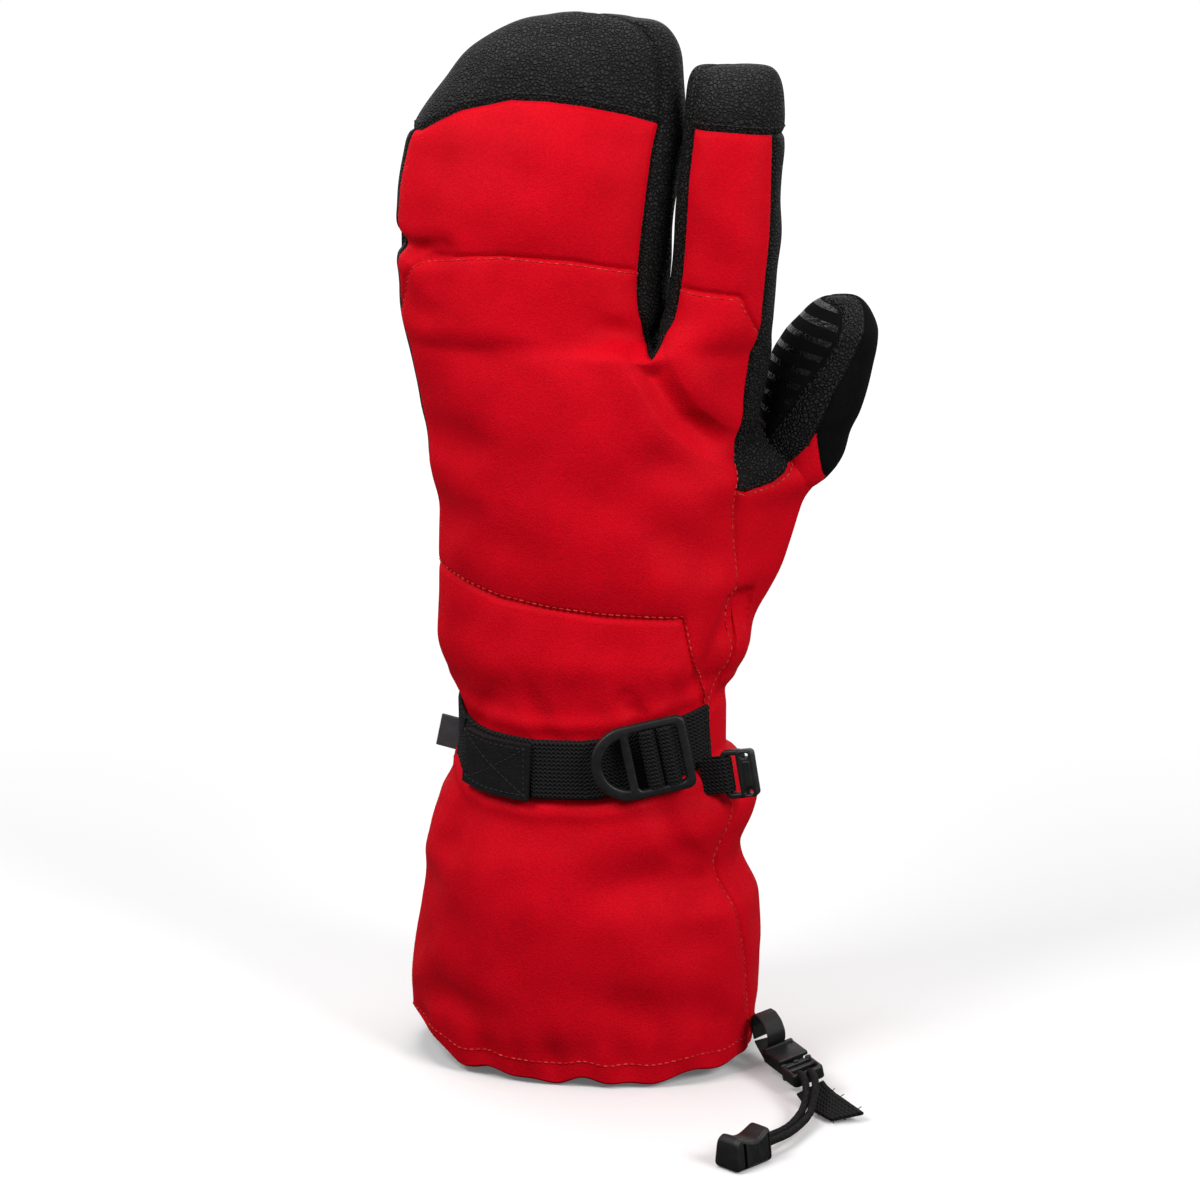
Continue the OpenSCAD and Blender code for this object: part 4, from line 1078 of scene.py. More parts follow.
thread_red = finish(
    "thread_red",
    lambda p: p.noise(500, 2.0).step(0.35, 0.72).tint((0.46, 0.004, 0.010), (0.66, 0.075, 0.055)),
    lambda p: p.noise(4000), 0.0001, 0.6, Specular_IOR_Level=0.15)
thread_black = finish(
    "thread_black", lambda p: p.noise(900).tint((0.006, 0.006, 0.006), (0.022, 0.022, 0.022)),
    lambda p: p.noise(4000), 0.0001, 0.55, Specular_IOR_Level=0.2)


def stitch_tree():
    tree = bpy.data.node_groups.new("stitching", "GeometryNodeTree")
    face = tree.interface
    face.new_socket("Geometry", in_out="INPUT", socket_type="NodeSocketGeometry")
    for name, value in (("Stitch length", 0.0024), ("Spacing", 0.0031), ("Thread radius", 0.00026)):
        face.new_socket(name, in_out="INPUT", socket_type="NodeSocketFloat").default_value = value
    face.new_socket("Thread", in_out="INPUT", socket_type="NodeSocketMaterial")
    face.new_socket("Geometry", in_out="OUTPUT", socket_type="NodeSocketGeometry")
    new, link = tree.nodes.new, tree.links.new
    start, end = new("NodeGroupInput"), new("NodeGroupOutput")
    curve, resample = new("GeometryNodeMeshToCurve"), new("GeometryNodeResampleCurve")
    resample.mode = "LENGTH"
    link(start.outputs["Geometry"], curve.inputs[0])
    link(curve.outputs[0], resample.inputs["Curve"])
    link(start.outputs["Spacing"], resample.inputs["Length"])
    tangent, align = new("GeometryNodeInputTangent"), new("FunctionNodeAlignRotationToVector")
    align.axis = "Z"
    link(tangent.outputs[0], align.inputs["Vector"])
    stitch, round_it = new("GeometryNodeMeshUVSphere"), new("GeometryNodeTransform")
    stitch.inputs["Segments"].default_value, stitch.inputs["Rings"].default_value = 6, 6
    stitch.inputs["Radius"].default_value = 1.0
    half = new("ShaderNodeMath")
    half.operation, half.inputs[1].default_value = "MULTIPLY", 0.5
    link(start.outputs["Stitch length"], half.inputs[0])
    size = new("ShaderNodeCombineXYZ")
    link(start.outputs["Thread radius"], size.inputs[0])
    link(start.outputs["Thread radius"], size.inputs[1])
    link(half.outputs[0], size.inputs[2])
    link(stitch.outputs[0], round_it.inputs["Geometry"])
    link(size.outputs[0], round_it.inputs["Scale"])
    place, real, paint = (new("GeometryNodeInstanceOnPoints"), new("GeometryNodeRealizeInstances"),
                          new("GeometryNodeSetMaterial"))
    link(resample.outputs[0], place.inputs["Points"])
    link(round_it.outputs[0], place.inputs["Instance"])
    link(align.outputs[0], place.inputs["Rotation"])
    link(place.outputs[0], real.inputs[0])
    link(real.outputs[0], paint.inputs["Geometry"])
    link(start.outputs["Thread"], paint.inputs["Material"])
    link(paint.outputs[0], end.inputs[0])
    return tree


stitching = stitch_tree()


def stitch(name, lines, thread, slot, body, **settings):
    """Stitches along lines of points in millimetres, as one plain mesh."""
    points, edges = [], []
    for run in lines:
        edges += [(len(points) + i, len(points) + i + 1) for i in range(len(run) - 1)]
        points += [tuple(q) for q in np.asarray(run) / 1000]
    mesh = bpy.data.meshes.new(name)
    mesh.from_pydata(points, edges, [])
    guide = in_scene(name, mesh)
    nodes = guide.modifiers.new("stitching", "NODES")
    nodes.node_group = stitching
    for item in stitching.interface.items_tree:
        if item.in_out == "INPUT" and item.name.replace(" ", "_") in settings:
            nodes[item.identifier] = settings[item.name.replace(" ", "_")]
        if item.in_out == "INPUT" and item.name == "Thread":
            nodes[item.identifier] = thread
    made = bpy.data.meshes.new_from_object(evaluated(guide))
    bpy.data.objects.remove(guide)
    made.name = name
    made.shade_smooth()
    piece = in_scene(name, made)
    return join_body(piece, body)


def level_lines(values, level, numbers, keep=None):
    """Lines where values, given at each point of the bag, pass the level, lifted clear of it."""
    above, fewest = 0.12, 8
    chosen = T[np.isin(panel, [ids[k] for k in numbers])]
    f = values - level
    f = np.where(np.abs(f) < 1e-5, 1e-5, f)
    side = f[chosen] > 0
    chosen = chosen[side.any(1) & ~side.all(1)]
    links = {}
    for tri in chosen:
        ends = []
        for i, j in ((tri[0], tri[1]), (tri[1], tri[2]), (tri[2], tri[0])):
            if (f[i] > 0) != (f[j] > 0):
                ends.append((min(i, j), max(i, j)))
        if len(ends) == 2:
            links.setdefault(ends[0], []).append(ends[1])
            links.setdefault(ends[1], []).append(ends[0])
    done, lines = set(), []
    for first in sorted(links, key=lambda k: (len(links[k]), k)):
        if first in done:
            continue
        run = [first]
        done.add(first)
        while True:
            ahead = [k for k in links[run[-1]] if k not in done]
            if not ahead:
                break
            run.append(ahead[0])
            done.add(ahead[0])
        if len(run) < fewest:
            continue
        pairs = np.array(run)
        t = (f[pairs[:, 0]] / (f[pairs[:, 0]] - f[pairs[:, 1]]))[:, None]
        q = P[pairs[:, 0]] * (1 - t) + P[pairs[:, 1]] * t + N[pairs[:, 0]] * above
        for _ in range(3):
            q[1:-1] = (q[:-2] + 2 * q[1:-1] + q[2:]) / 4
        good = keep(q) if keep else np.ones(len(q), bool)
        start = 0
        for i in range(len(q) + 1):
            if i == len(q) or not good[i]:
                if i - start > fewest:
                    lines.append(q[start:i])
                start = i + 1
    return lines


ROW_STITCH = dict(Stitch_length=0.0017, Spacing=0.0023, Thread_radius=0.00028)
# A seam, how far beside it, the panels that carry the stitches, and the body that they move with
ROWS = [
    ("lower_row", "lower", 1.0, ["mid_back_fingers", "mid_back_index"], thread_red, "hand",
     lambda q: q[:, 1] < 5),
    ("finger_row", "finger_middle", 1.0, ["middle_fingers"], thread_red, "fingers", None),
    ("index_row", "index_middle", 1.0, ["middle_index"], thread_red, "index", None),
    ("finger_cap_row", "finger_cap", 2.2, ["finger_cap"], thread_black, "fingers", None),
    ("index_cap_row", "index_cap", 2.2, ["index_cap"], thread_black, "index", None),
    ("side_row", "side", 1.3, ["mid_back_index", "lower_back"], thread_red, "hand",
     lambda q: (q[:, 0] > 30) & (q[:, 2] < 206) & (q[:, 2] > 116)),
    ("gauntlet_side_row", "gauntlet_side", 1.3, ["gauntlet_back"], thread_red, "hand",
     lambda q: q[:, 2] > 16),
    ("web_row", "web", 1.2, ["thumb_side"], thread_red, "hand", None),
    ("web_edge_row", "web", 1.8, ["web_panel"], thread_black, "hand", None),
    ("palm_edge_row", "palm_edge", 1.8, ["hand_palm"], thread_black, "hand", None),
    ("patch_row", "patch", 2.4, ["palm_patch"], thread_black, "hand", None),
    ("patch_inner_row", "patch", 4.4, ["palm_patch"], thread_black, "hand", None),
    ("finger_palm_row", "finger_edge", 1.8, ["finger_palm"], thread_black, "fingers",
     lambda q: q[:, 1] > 0),
    ("index_palm_row", "index_edge", 1.8, ["index_palm"], thread_black, "index",
     lambda q: q[:, 1] > 0),
    ("grip_row", "grip_rim", 1.0, ["thumb_rim"], thread_black, "thumb", lambda q: q[:, 2] > 207),
    ("thumb_back_row", "thumb_back", 1.4, ["thumb_rim"], thread_black, "thumb",
     lambda q: q[:, 2] > 207),
]
for name, seam, offset, numbers, thread, body, keep in ROWS:
    lines = level_lines(seam_distance[seam], offset, numbers, keep)
    if lines:
        stitch("stitches_" + name, lines, thread,
               "softshell" if thread is thread_red else "leather",
               body, **ROW_STITCH)
HEM_ROW = 7.0
lines = level_lines(R[:, 2], HEM_ROW, ["gauntlet_back", "gauntlet_palm"])
stitch("stitches_hem", lines, thread_red, "softshell", "hand", **ROW_STITCH)

# ---- Wrist strap ----
# Black polyester webbing, 20 mm wide, sewn on at the little-finger side and into the thumb-side
# seam. It passes through the buckle and its tail comes back over it, ending in a folded, boxed tab.


def web_weave(p):
    parts = p.add("ShaderNodeSeparateXYZ", Vector=p)
    u, v = parts, Wire(p.tree, parts.out.node.outputs[1])
    over = (u * (2 * math.pi / 1.5)).sin() * (v * (2 * math.pi / 1.35)).sin()
    ribs = (v * (2 * math.pi / 1.35) + 0.8).sin()
    fibres = p.noise(3.5, 2.0)
    return over * 0.32 + ribs * 0.2 + fibres * 0.25 + 0.4


webbing = finish(
    "webbing",
    lambda p: web_weave(p).step(0.1, 0.9).tint((0.0030, 0.0030, 0.0032), (0.0190, 0.0190, 0.0195)),
    web_weave, 0.0009, 0.72, coordinates="UV", Specular_IOR_Level=0.10,
)
ballistic = finish(
    "boxed_tab", lambda p: (p.noise(2200, 1.0) * 0.6 + p.noise(300) * 0.4).step(0.25, 0.8).tint(
        (0.0045, 0.0045, 0.0048), (0.0125, 0.0125, 0.0130)),
    lambda p: p.cells(1400) * 0.5 + p.noise(2600) * 0.5, 0.00025, 0.6, Specular_IOR_Level=0.10,
)


def band(name, first, last, lift, thick, width, material, shift=0.0):
    """Webbing round the waist from the turn first to last, lift above the bag."""
    turns = np.radians(np.linspace(first, last, max(12, int(abs(last - first) * 1.6))))
    r = strap_radius(np.degrees(turns)) + lift
    cross = [(-0.5, 0.25), (-0.485, 0.0), (0, 0), (0.485, 0.0), (0.5, 0.25), (0.5, 0.75),
             (0.485, 1)]
    cross += [(0.5 - k / 24, 1) for k in range(1, 24)] + [(-0.485, 1), (-0.5, 0.75)]
    path = np.stack([WAIST_X + r * np.cos(turns), r * np.sin(turns)], 1)
    s_along = np.concatenate(([0], np.cumsum(np.linalg.norm(np.diff(path, axis=0), axis=1))))
    points, uv = [], []
    for i, a in enumerate(turns):
        x, y = path[i]
        z = strap_height(x) + shift
        ahead, behind = path[min(i + 1, len(path) - 1)], path[max(i - 1, 0)]
        length = np.linalg.norm(ahead - behind)
        slope = (strap_height(ahead[0]) - strap_height(behind[0])) / length
        tangent = (ahead - behind) / length
        out = np.array([tangent[1], -tangent[0]])
        for t, h in cross:
            side = t * width
            place = np.array([x, y]) + out * h * thick - tangent * side * slope
            points.append((place[0], place[1], z + side * (1 - slope * slope / 2)))
            uv.append((s_along[i], side))
    return make(name, points, tube_faces(len(turns), len(cross)), material, uv=uv, sharp=50)


def turn_at(x):
    grid = np.arange(190, 350, 0.25)
    return float(np.interp(x, WAIST_X + strap_radius(grid) * np.cos(np.radians(grid)), grid))


TAIL_LIFT = WEB_T + 0.95
strap = band("wrist_strap_web", 168, 341.5, 0.05, WEB_T, STRAP_W, webbing)
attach(strap, "hand")
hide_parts("wrist_strap")
tail = band("strap_tail_web", turn_at(-9.2), turn_at(20.2), TAIL_LIFT, WEB_T, STRAP_W - 1, webbing,
            shift=0.4)
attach(tail, "strap_end")
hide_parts("strap_tail")
first, last = turn_at(-31), turn_at(-9.3)
tab = band("boxed_tab", first, last, TAIL_LIFT, 2 * WEB_T, STRAP_W - 0.6, ballistic,
           shift=-0.5)
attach(tab, "strap_end")
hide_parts("strap_end_tab")


def on_tab(a, side):
    r = strap_radius(a) + WEB_T * 3 + 1.0
    x = WAIST_X + r * math.cos(math.radians(a))
    return np.array([x, r * math.sin(math.radians(a)), strap_height(x) - 0.5 + side])


inset = 1.6
a0, a1 = first + 2.0, last - 1.8
half = STRAP_W / 2 - 0.6 - inset
# A box of four rows, and a cross in it
box_lines = [
    [on_tab(a, t) for a, t in zip(np.linspace(*turns, count), np.linspace(*heights, count))]
    for turns, heights, count in (
        ((a0, a1), (half, half), 20), ((a0, a1), (-half, -half), 20),
        ((a0, a0), (-half, half), 14), ((a1, a1), (-half, half), 14),
        ((a0, a1), (-half, half), 24), ((a0, a1), (half, -half), 24),
    )
]
STRAP_STITCH = dict(Stitch_length=0.0016, Spacing=0.0019, Thread_radius=0.00024)
stitch("stitches_boxed_tab", box_lines, thread_black, "webbing", "strap_end", **STRAP_STITCH)
end_lines = []
for turn in (338.5, 340.2):
    r = strap_radius(turn) + WEB_T + 0.15
    x, y = WAIST_X + r * math.cos(math.radians(turn)), r * math.sin(math.radians(turn))
    end_lines.append([np.array([x, y, strap_height(x) + t]) for t in np.linspace(-8.5, 8.5, 12)])
stitch("stitches_strap_end", end_lines, thread_black, "webbing", "hand", **STRAP_STITCH)

# ---- Buckle ----
# A moulded acetal ladder-lock: a D-shaped end to hold it by, one flat bar, and two round bars that
# the webbing is wrapped over.

plastic = finish(
    "moulded_black",
    lambda p: p.noise(260, 3.0).step(0.3, 0.75).tint(
        (0.0060, 0.0061, 0.0064), (0.0120, 0.0122, 0.0128)),
    lambda p: p.noise(2600, 2.0), 0.00005, lambda p: p.noise(420, 3.0) * 0.22 + 0.27,
    Specular_IOR_Level=0.26,
)


def arc(x, y, r, a0, a1, count=12):
    return [(x + r * math.cos(math.radians(a)), y + r * math.sin(math.radians(a)))
            for a in np.linspace(a0, a1, count)]


def round_box(x0, x1, y0, y1, r):
    return (arc(x1 - r, y1 - r, r, 0, 90, 7) + arc(x0 + r, y1 - r, r, 90, 180, 7)
            + arc(x0 + r, y0 + r, r, 180, 270, 7) + arc(x1 - r, y0 + r, r, 270, 360, 7))


def carry(piece, body, nodes):
    """The piece moves with the body and stands for the nodes."""
    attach(piece, body)
    if nodes:
        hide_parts(*nodes)
    return piece


def moulding(name, shapes, place, body, *nodes, material=plastic, slot="buckle_plastic"):
    """Plates with rounded edges, each (loops, thickness, edge radius, height of its middle)."""
    joined = bmesh.new()
    for loops, thick, edge, middle in shapes:
        flat = bpy.data.curves.new(name, "CURVE")
        flat.dimensions, flat.fill_mode = "2D", "BOTH"
        flat.extrude, flat.bevel_depth = (thick / 2 - edge) / 1000, edge / 1000
        flat.bevel_resolution, flat.offset = 3, -edge / 1000
        for loop in loops:
            spline = flat.splines.new("POLY")
            spline.points.add(len(loop) - 1)
            for knot, (x, y) in zip(spline.points, loop):
                knot.co = (x / 1000, y / 1000, 0, 1)
            spline.use_cyclic_u = True
        shown = in_scene(name, flat)
        solid = bpy.data.meshes.new_from_object(evaluated(shown))
        bpy.data.objects.remove(shown)
        solid.transform(Matrix.Translation((0, 0, middle / 1000)))
        joined.from_mesh(solid)
    bmesh.ops.remove_doubles(joined, verts=joined.verts, dist=1e-6)
    bmesh.ops.recalc_face_normals(joined, faces=joined.faces)
    mesh = bpy.data.meshes.new(name)
    joined.to_mesh(mesh)
    joined.free()
    mesh.transform(place)
    mesh.shade_smooth()
    mesh.set_sharp_from_angle(angle=math.radians(35))
    mesh.materials.clear()
    mesh.materials.append(material)
    piece = in_scene(name, mesh)
    return carry(piece, body, nodes)


def turned_by(degrees, axis):
    return Matrix.Rotation(math.radians(degrees), 4, axis)


def moved_by(*mm):
    return Matrix.Translation([v / 1000 for v in mm])


def rod(name, rings, place, material, body):
    """A round form about its own y axis: rings of (y, radius), closed at its ends."""
    points, uv, count = [], [], 40
    for y, r in rings:
        for k in range(count):
            a = 2 * math.pi * k / count
            points.append((r * math.sin(a), y, r * math.cos(a)))
            uv.append((2.6 * a, y))
    piece = make(name, points, tube_faces(len(rings), count), material, uv=uv, sharp=50)
    piece.data.transform(place)
    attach(piece, body)
    return piece


at_buckle = (moved_by(26, -34.2, 112) @ turned_by(17, "Z") @ turned_by(90, "X") @ turned_by(12, "Z")
             @ moved_by(-16.5, 0, 0))
outer = arc(12.5, 0, 12.5, 90, 270, 40) + arc(30, -9.5, 3, 270, 360, 8) + arc(30, 9.5, 3, 0, 90, 8)
flat_side = math.degrees(math.acos((11 - 12.5) / 8.9))
d_window = arc(12.5, 0, 8.9, flat_side, 360 - flat_side, 30)
BAR_PITCH = 5.8
moulding(
    "buckle_frame",
    [([outer, d_window, round_box(14, 29.9, -9.8, 9.8, 1.6)], 3.0, 0.75, 1.5)],
    at_buckle, "buckle", "ladder_lock",
)
for number, x in enumerate((20, 20 + BAR_PITCH)):
    at_bar = at_buckle @ moved_by(x, 0, 1.5)
    rod(f"buckle_bar_{number}", [(-10.8, 1.2), (10.8, 1.2)], at_bar, plastic,
        "buckle")
    sleeve = rod(f"wrapped_web_{number}",
                 [(-9.8, 2.2), (-9.7, 2.6), (-9.3, 2.75),
                  *[(-9.3 + 18.6 * k / 20, 2.75) for k in range(1, 20)],
                  (9.3, 2.75), (9.7, 2.6), (9.8, 2.2)], at_bar, webbing, "buckle")
    if number == 0:
        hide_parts("strap_wrap")

# ---- Leash clip ----
# A short webbing loop sewn into the thumb-side seam under the strap. It holds a small moulded
# frame, and a hook turns on the frame's outer bar.

at_leash = moved_by(45.4, -20, 103.6) @ turned_by(-8, "Z") @ turned_by(-10, "Y")
LEASH_W, BAR_X = 11.6, 6.9
loop_path = ([(-1 + k, -2.05) for k in range(0, 8)] + arc(BAR_X, 0, 2.05, -80, 80, 12)
             + [(6 - k, 2.05) for k in range(0, 8)])


def face_outwards(piece):
    edit = bmesh.new()
    edit.from_mesh(piece.data)
    bmesh.ops.recalc_face_normals(edit, faces=edit.faces)
    edit.to_mesh(piece.data)
    edit.free()


def strip(name, path, width, thick, material, slot, place, body, *nodes, across=None, slant=0.0):
    """A woven strip whose middle follows a path, with its two ends and edges closed."""
    path = np.array(path, float)
    s_along = np.concatenate(([0], np.cumsum(np.linalg.norm(np.diff(path, axis=0), axis=1))))
    fine = np.linspace(0, s_along[-1], max(24, int(s_along[-1] * 2.5)))
    path = np.stack([np.interp(fine, s_along, path[:, k]) for k in range(3)], 1)
    for _ in range(4):
        path[1:-1] = (path[:-2] + 2 * path[1:-1] + path[2:]) / 4
    sides = np.array([across(k / (len(path) - 1)) for k in range(len(path))], float)
    cross = [(-0.5, -0.3), (-0.47, -0.5), *[(-0.47 + 0.94 * k / 14, -0.5) for k in range(1, 14)],
             (0.47, -0.5), (0.5, -0.3), (0.5, 0.3), (0.47, 0.5),
             *[(0.47 - 0.94 * k / 14, 0.5) for k in range(1, 14)],
             (-0.47, 0.5), (-0.5, 0.3)]
    points, uv = [], []
    for i, q in enumerate(path):
        tangent = path[min(i + 1, len(path) - 1)] - path[max(i - 1, 0)]
        tangent /= np.linalg.norm(tangent)
        side = sides[i] - tangent * (sides[i] @ tangent)
        side /= np.linalg.norm(side)
        normal = np.cross(side, tangent)
        share = ease((fine[i] - fine[-1] + 6) / 6)
        for t, h in cross:
            points.append(q + side * t * width + normal * h * thick
                          + tangent * slant * t * width * share)
            uv.append((fine[i], t * width))
    piece = make(name, points, tube_faces(len(path), len(cross)), material, uv=uv, sharp=50)
    piece.data.transform(place)
    face_outwards(piece)
    return carry(piece, body, nodes)


strip("leash_loop", [(x, y, 0) for x, y in loop_path], LEASH_W, 1.1, webbing, "webbing", at_leash,
      "hand",
      "leash_tab", across=lambda k: (0, 0, 1))
upright = at_leash @ turned_by(90, "X")
moulding("clip_frame",
         [([round_box(6, 14, -8.2, 8.2, 2.2), round_box(7.8, 12.2, -6.4, 6.4, 0.8)], 3.0, 0.6, 0)],
         upright, "hand", "leash_frame")
hook_at = upright @ moved_by(13.1, 0, 0)
moulding("clip_hook",
         [([round_box(-1.7, 4.2, -7.9, 7.9, 1.5), round_box(0.1, 2.7, 5.4, 6.9, 0.6),
            round_box(0.1, 2.7, -6.9, -5.4, 0.6)], 3.8, 0.6, 0),
          ([round_box(0.4, 3.2, -4.4, 4.4, 0.5)], 4.6, 0.4, 0)],
         hook_at, "leash_hook", "leash_hook")

# ---- Side label ----
# A folded grey tape label sewn in behind the strap at the little-finger side. It is blank.

tape = finish(
    "label_tape",
    lambda p: (p.noise(2400) * 0.6 + p.noise(300) * 0.4).step(0.3, 0.7).tint(
        (0.045, 0.043, 0.048), (0.066, 0.064, 0.070)),
    lambda p: p.noise(3000), 0.00012, 0.5, Specular_IOR_Level=0.3)
moulding("side_tape", [([round_box(-5, 5, -5.6, 5.6, 0.3)], 1.1, 0.4, 0)],
         moved_by(-46, 1.2, 107.6) @ turned_by(12, "Y") @ turned_by(90, "X"),
         "hand", "side_label", material=tape, slot="label")

# ---- Hem adjuster ----
# Moulded housing on a ribbon loop at the hem's side seam, and the toothed insert that pulls out of
# it. The drawcords and a webbing tail leave through the insert's slots.

at_adjuster = moved_by(72.5, -20.5, 7.6) @ turned_by(-55, "Z") @ turned_by(13, "X")
case_edge = round_box(-8.25, 6.75, -4.5, 4.5, 1.2)
moulding("adjuster_case",
         [([case_edge, round_box(-6.55, -4.35, -3.6, 3.6, 0.5)], 1.0, 0.35, -2.0),
          ([case_edge, round_box(-6.55, 8.4, -3.3, 3.3, 0.4)], 3.6, 0.35, 0.1),
          ([round_box(-4.35, 8.25, -5.5, 5.5, 0.7)], 1.5, 0.45, 3.1),
          ([round_box(-3.6, -2.0, -5.3, 5.3, 0.5)], 0.9, 0.3, 4.0)],
         at_adjuster, "hand", "adjuster_housing")
moulding("adjuster_key",
         [([round_box(8.85, 18.85, -5.75, 5.75, 1.6), round_box(10.25, 12.65, -4.15, 4.15, 0.8),
            round_box(14.05, 17.25, -4.15, 4.15, 0.8)], 4.6, 0.8, 0),
          ([round_box(-2.1, 9.6, -3.0, 3.0, 0.5)], 2.2, 0.4, 0),
          *[([round_box(8.85, 10.1, y - 1, y + 1, 0.4)], 5.8, 0.5, 0) for y in (-4.6, 0, 4.6)]],
         at_adjuster, "adjuster", "adjuster_insert")
ribbon = finish(
    "ribbon", lambda p: p.noise(1.2).tint((0.0035, 0.0035, 0.0037), (0.0100, 0.0100, 0.0105)),
    lambda p: p.noise(6.0), 0.0002, 0.5, coordinates="UV", Specular_IOR_Level=0.3)
strip("hem_ribbon",
      [(-20.4, 1.8, 0.5), (-19.6, 1.6, 5.5), (-17, 1.2, 9.8), (-13, 0.9, 12.2), (-8.6, 0.6, 12.8),
       (-4.8, 0.4, 11.4), (-3.0, 0.2, 8.4), (-3.6, 0.1, 5.6), (-5.3, 0, 3.2), (-5.45, 0, 0),
       (-5.75, 0, -3.2),
       (-8.45, 0.2, -4.1), (-12.4, 0.6, -3.2), (-16.4, 1.1, -1.6), (-19.4, 1.6, -0.6)],
      6.5, 0.8, ribbon, "webbing", at_adjuster, "hand", "hem_loop", across=lambda k: (0, 1, 0))
in_place = Matrix.Identity(4)


def tail_side(k):
    roll = math.radians(float(np.interp(k, (0, 0.25, 0.5, 0.75, 1), (24, 25, 22, 17, 12))))
    ahead = np.array([0.62, -0.76, -0.12])
    level = np.cross(ahead, (0, 0, 1))
    level /= np.linalg.norm(level)
    return level * math.cos(roll) - np.cross(level, ahead) * math.sin(roll)


tail_route = [(84, -38.6, 4.8), (86, -42, 4.2), (89.5, -46.4, 3.6), (94, -50.6, 3),
              (98.4, -54.6, 2.3)]
strip("hem_webbing", tail_route, 10, 1.2, webbing, "webbing", in_place, "adjuster",
      "hem_webbing_tail", across=tail_side, slant=-0.45)
free_part = np.array(tail_route[1:], float)
# Each fray: how far along the free part, which edge, and where it points
FRAYS = [
    (0.2, 1, 0.6, 1.4), (0.45, 1, 1.1, 0.9), (0.92, 1, 1.2, 1.0), (0.6, -1, -0.5, -1.5),
    (0.97, -1, 0.3, -1.7), (1.0, 0.4, 1.7, -0.4), (1.0, -0.4, 1.5, -1.0),
]
frays = []
for k, (at, edge, dx, dy) in enumerate(FRAYS):
    q = np.array([np.interp(at, np.linspace(0, 1, 4), free_part[:, i]) for i in range(3)])
    start = q - tail_side(at) * 4.9 * edge
    ahead = np.array([dx, dy, 0.3 + 0.3 * math.sin(k)])
    frays.append([start + ahead * t for t in np.linspace(-0.4, 0.9, 9)])
stitch("frayed_ends", frays, thread_black, "webbing", "adjuster",
       Stitch_length=0.0006, Spacing=0.0002, Thread_radius=0.00016)

# ---- Cord pull ----
# A moulded grip that the cords are knotted into, lying on the floor. It has a dished top, upright
# ribs to hold it by, and a smooth end behind a groove.

pull_points, pull_faces = [], []
STATIONS, RING = 124, 64
PULL_HALF_L, PULL_HALF_W, PULL_H = 7.75, 5.45, 10.6
for i in range(STATIONS + 1):
    x = PULL_HALF_L * (2 * i / STATIONS - 1)
    top = PULL_H - 2.3 * math.cos(max(-1.0, min(1.0, (x - 0.8) / 6.6)) * math.pi / 2) ** 1.3
    top -= 1.6 * max(0.0, (-5.4 - x) / 2.35) ** 2
    end = min(1.0, math.sqrt(max(0.0, 1 - max(0.0, (abs(x) - 6.95) / 0.8) ** 2)))
    for k in range(RING):
        a = 2 * math.pi * (k + 0.5) / RING
        c, s = math.cos(a), math.sin(a)
        y = math.copysign(abs(c) ** 0.28, c)
        up = math.copysign(abs(s) ** 0.28, s)
        height = top * (0.5 + 0.5 * up * (0.93 + 0.07 * end))
        half = (PULL_HALF_W - 1.3 * height / PULL_H) * (0.9 + 0.1 * end)
        rib = 0.0
        if y < -0.9 and -2.6 < x < 7.0 and 0.9 < height < top - 1.3:
            rib = 0.42 * (0.5 + 0.5 * math.cos(2 * math.pi * (x + 2.6) / 1.6)) ** 0.6
        if y < -0.9 and abs(x + 4.3) < 0.55 and 0.8 < height < top - 1.5:
            rib = 1.3
        pull_points.append((x, y * half + rib, height + 0.02))
for i in range(STATIONS):
    for k in range(RING):
        j = (k + 1) % RING
        pull_faces.append((i * RING + k, (i + 1) * RING + k, (i + 1) * RING + j, i * RING + j))
pull_faces += [tuple(range(RING)), tuple(range(STATIONS * RING, (STATIONS + 1) * RING))[::-1]]
pull = make("cord_grip", pull_points, pull_faces, plastic, sharp=38)
pull.data.transform(moved_by(71.3, -94.6, 0.4) @ turned_by(57, "Z"))
face_outwards(pull)
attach(pull, "adjuster")
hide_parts("cord_pull")
for run, (points, length) in cords.items():
    tuple(v / 1000 for v in points[0])

# ---- Studio ----
# A white floor that takes soft shadows close to the mitten and glows white further off, a white
# surround, and three soft lamps.

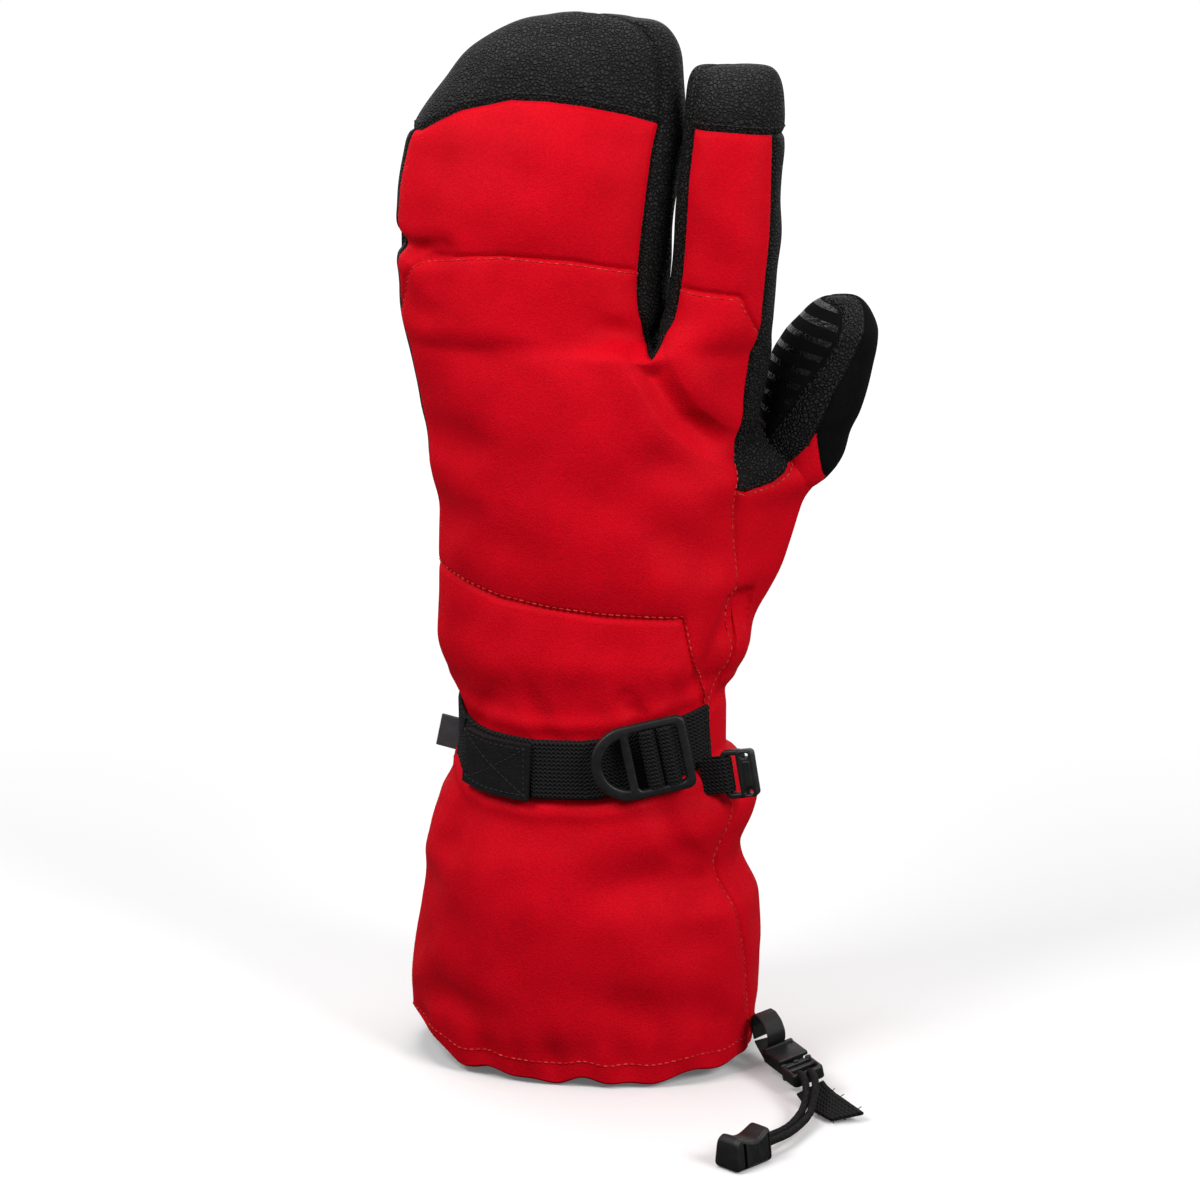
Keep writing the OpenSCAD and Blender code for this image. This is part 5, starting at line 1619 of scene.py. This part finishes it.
floor = bpy.data.meshes.new("floor")
SIDE = 6.0
floor.from_pydata([(-SIDE, -SIDE, 0), (SIDE, -SIDE, 0), (SIDE, SIDE, 0), (-SIDE, SIDE, 0)], [],
                  [(0, 1, 2, 3)])
ground = in_scene("floor", floor)
ground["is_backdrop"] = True
paint = bpy.data.materials.new("floor")
paint.use_nodes = True
tree = paint.node_tree
tree.nodes.clear()
start = Wire(tree, tree.nodes.new("ShaderNodeLightPath").outputs["Is Camera Ray"])
spot = Wire(tree, tree.nodes.new("ShaderNodeTexCoord").outputs["Object"])
reach = spot.add("ShaderNodeVectorMath", {"operation": "LENGTH"}, 1, i0=spot)
far = reach.step(0.2, 0.8)
shade = (1 - (1 - far) * start).tint((0.8, 0.8, 0.8), (0.12, 0.12, 0.12))
matt = start.add("ShaderNodeBsdfDiffuse", Color=shade)
glow = start.add("ShaderNodeEmission", Color=(1, 1, 1), Strength=start * (far * 0.94 + 0.10))
both = start.add("ShaderNodeAddShader", i0=matt, i1=glow)
end = tree.nodes.new("ShaderNodeOutputMaterial")
tree.links.new(both.out, end.inputs["Surface"])
floor.materials.append(paint)

world = bpy.data.worlds.new("studio")
bpy.context.scene.world = world
world.use_nodes = True
tree = world.node_tree
path = tree.nodes.new("ShaderNodeLightPath")
seen = Wire(tree, path.outputs["Is Camera Ray"])
glossy = Wire(tree, path.outputs["Is Glossy Ray"])
through = Wire(tree, path.outputs["Is Transmission Ray"])
AMBIENT = 0.31
level = seen.math("MAXIMUM", seen.math("MAXIMUM", seen, through), glossy) * (1 - AMBIENT) + AMBIENT
tree.links.new(level.out, tree.nodes["Background"].inputs["Strength"])
tree.nodes["Background"].inputs["Color"].default_value = (1, 1, 1, 1)

for name, place, size, power in (
    ("key", (-0.44, -0.46, 0.78), 0.35, 4.9),
    ("fill", (0.78, -0.48, 0.66), 0.4, 6.8),
    ("top", (-0.1, 0.2, 1.05), 0.5, 5.0),
):
    lamp = bpy.data.lights.new(name, "AREA")
    lamp.energy, lamp.size = power, size
    light = in_scene(name, lamp)
    light.location = place
    light.rotation_euler = (Vector(place) - Vector((0, 0, 0.24))).to_track_quat("Z", "Y").to_euler()
bpy.context.scene.view_settings.view_transform = "Standard"

low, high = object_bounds()
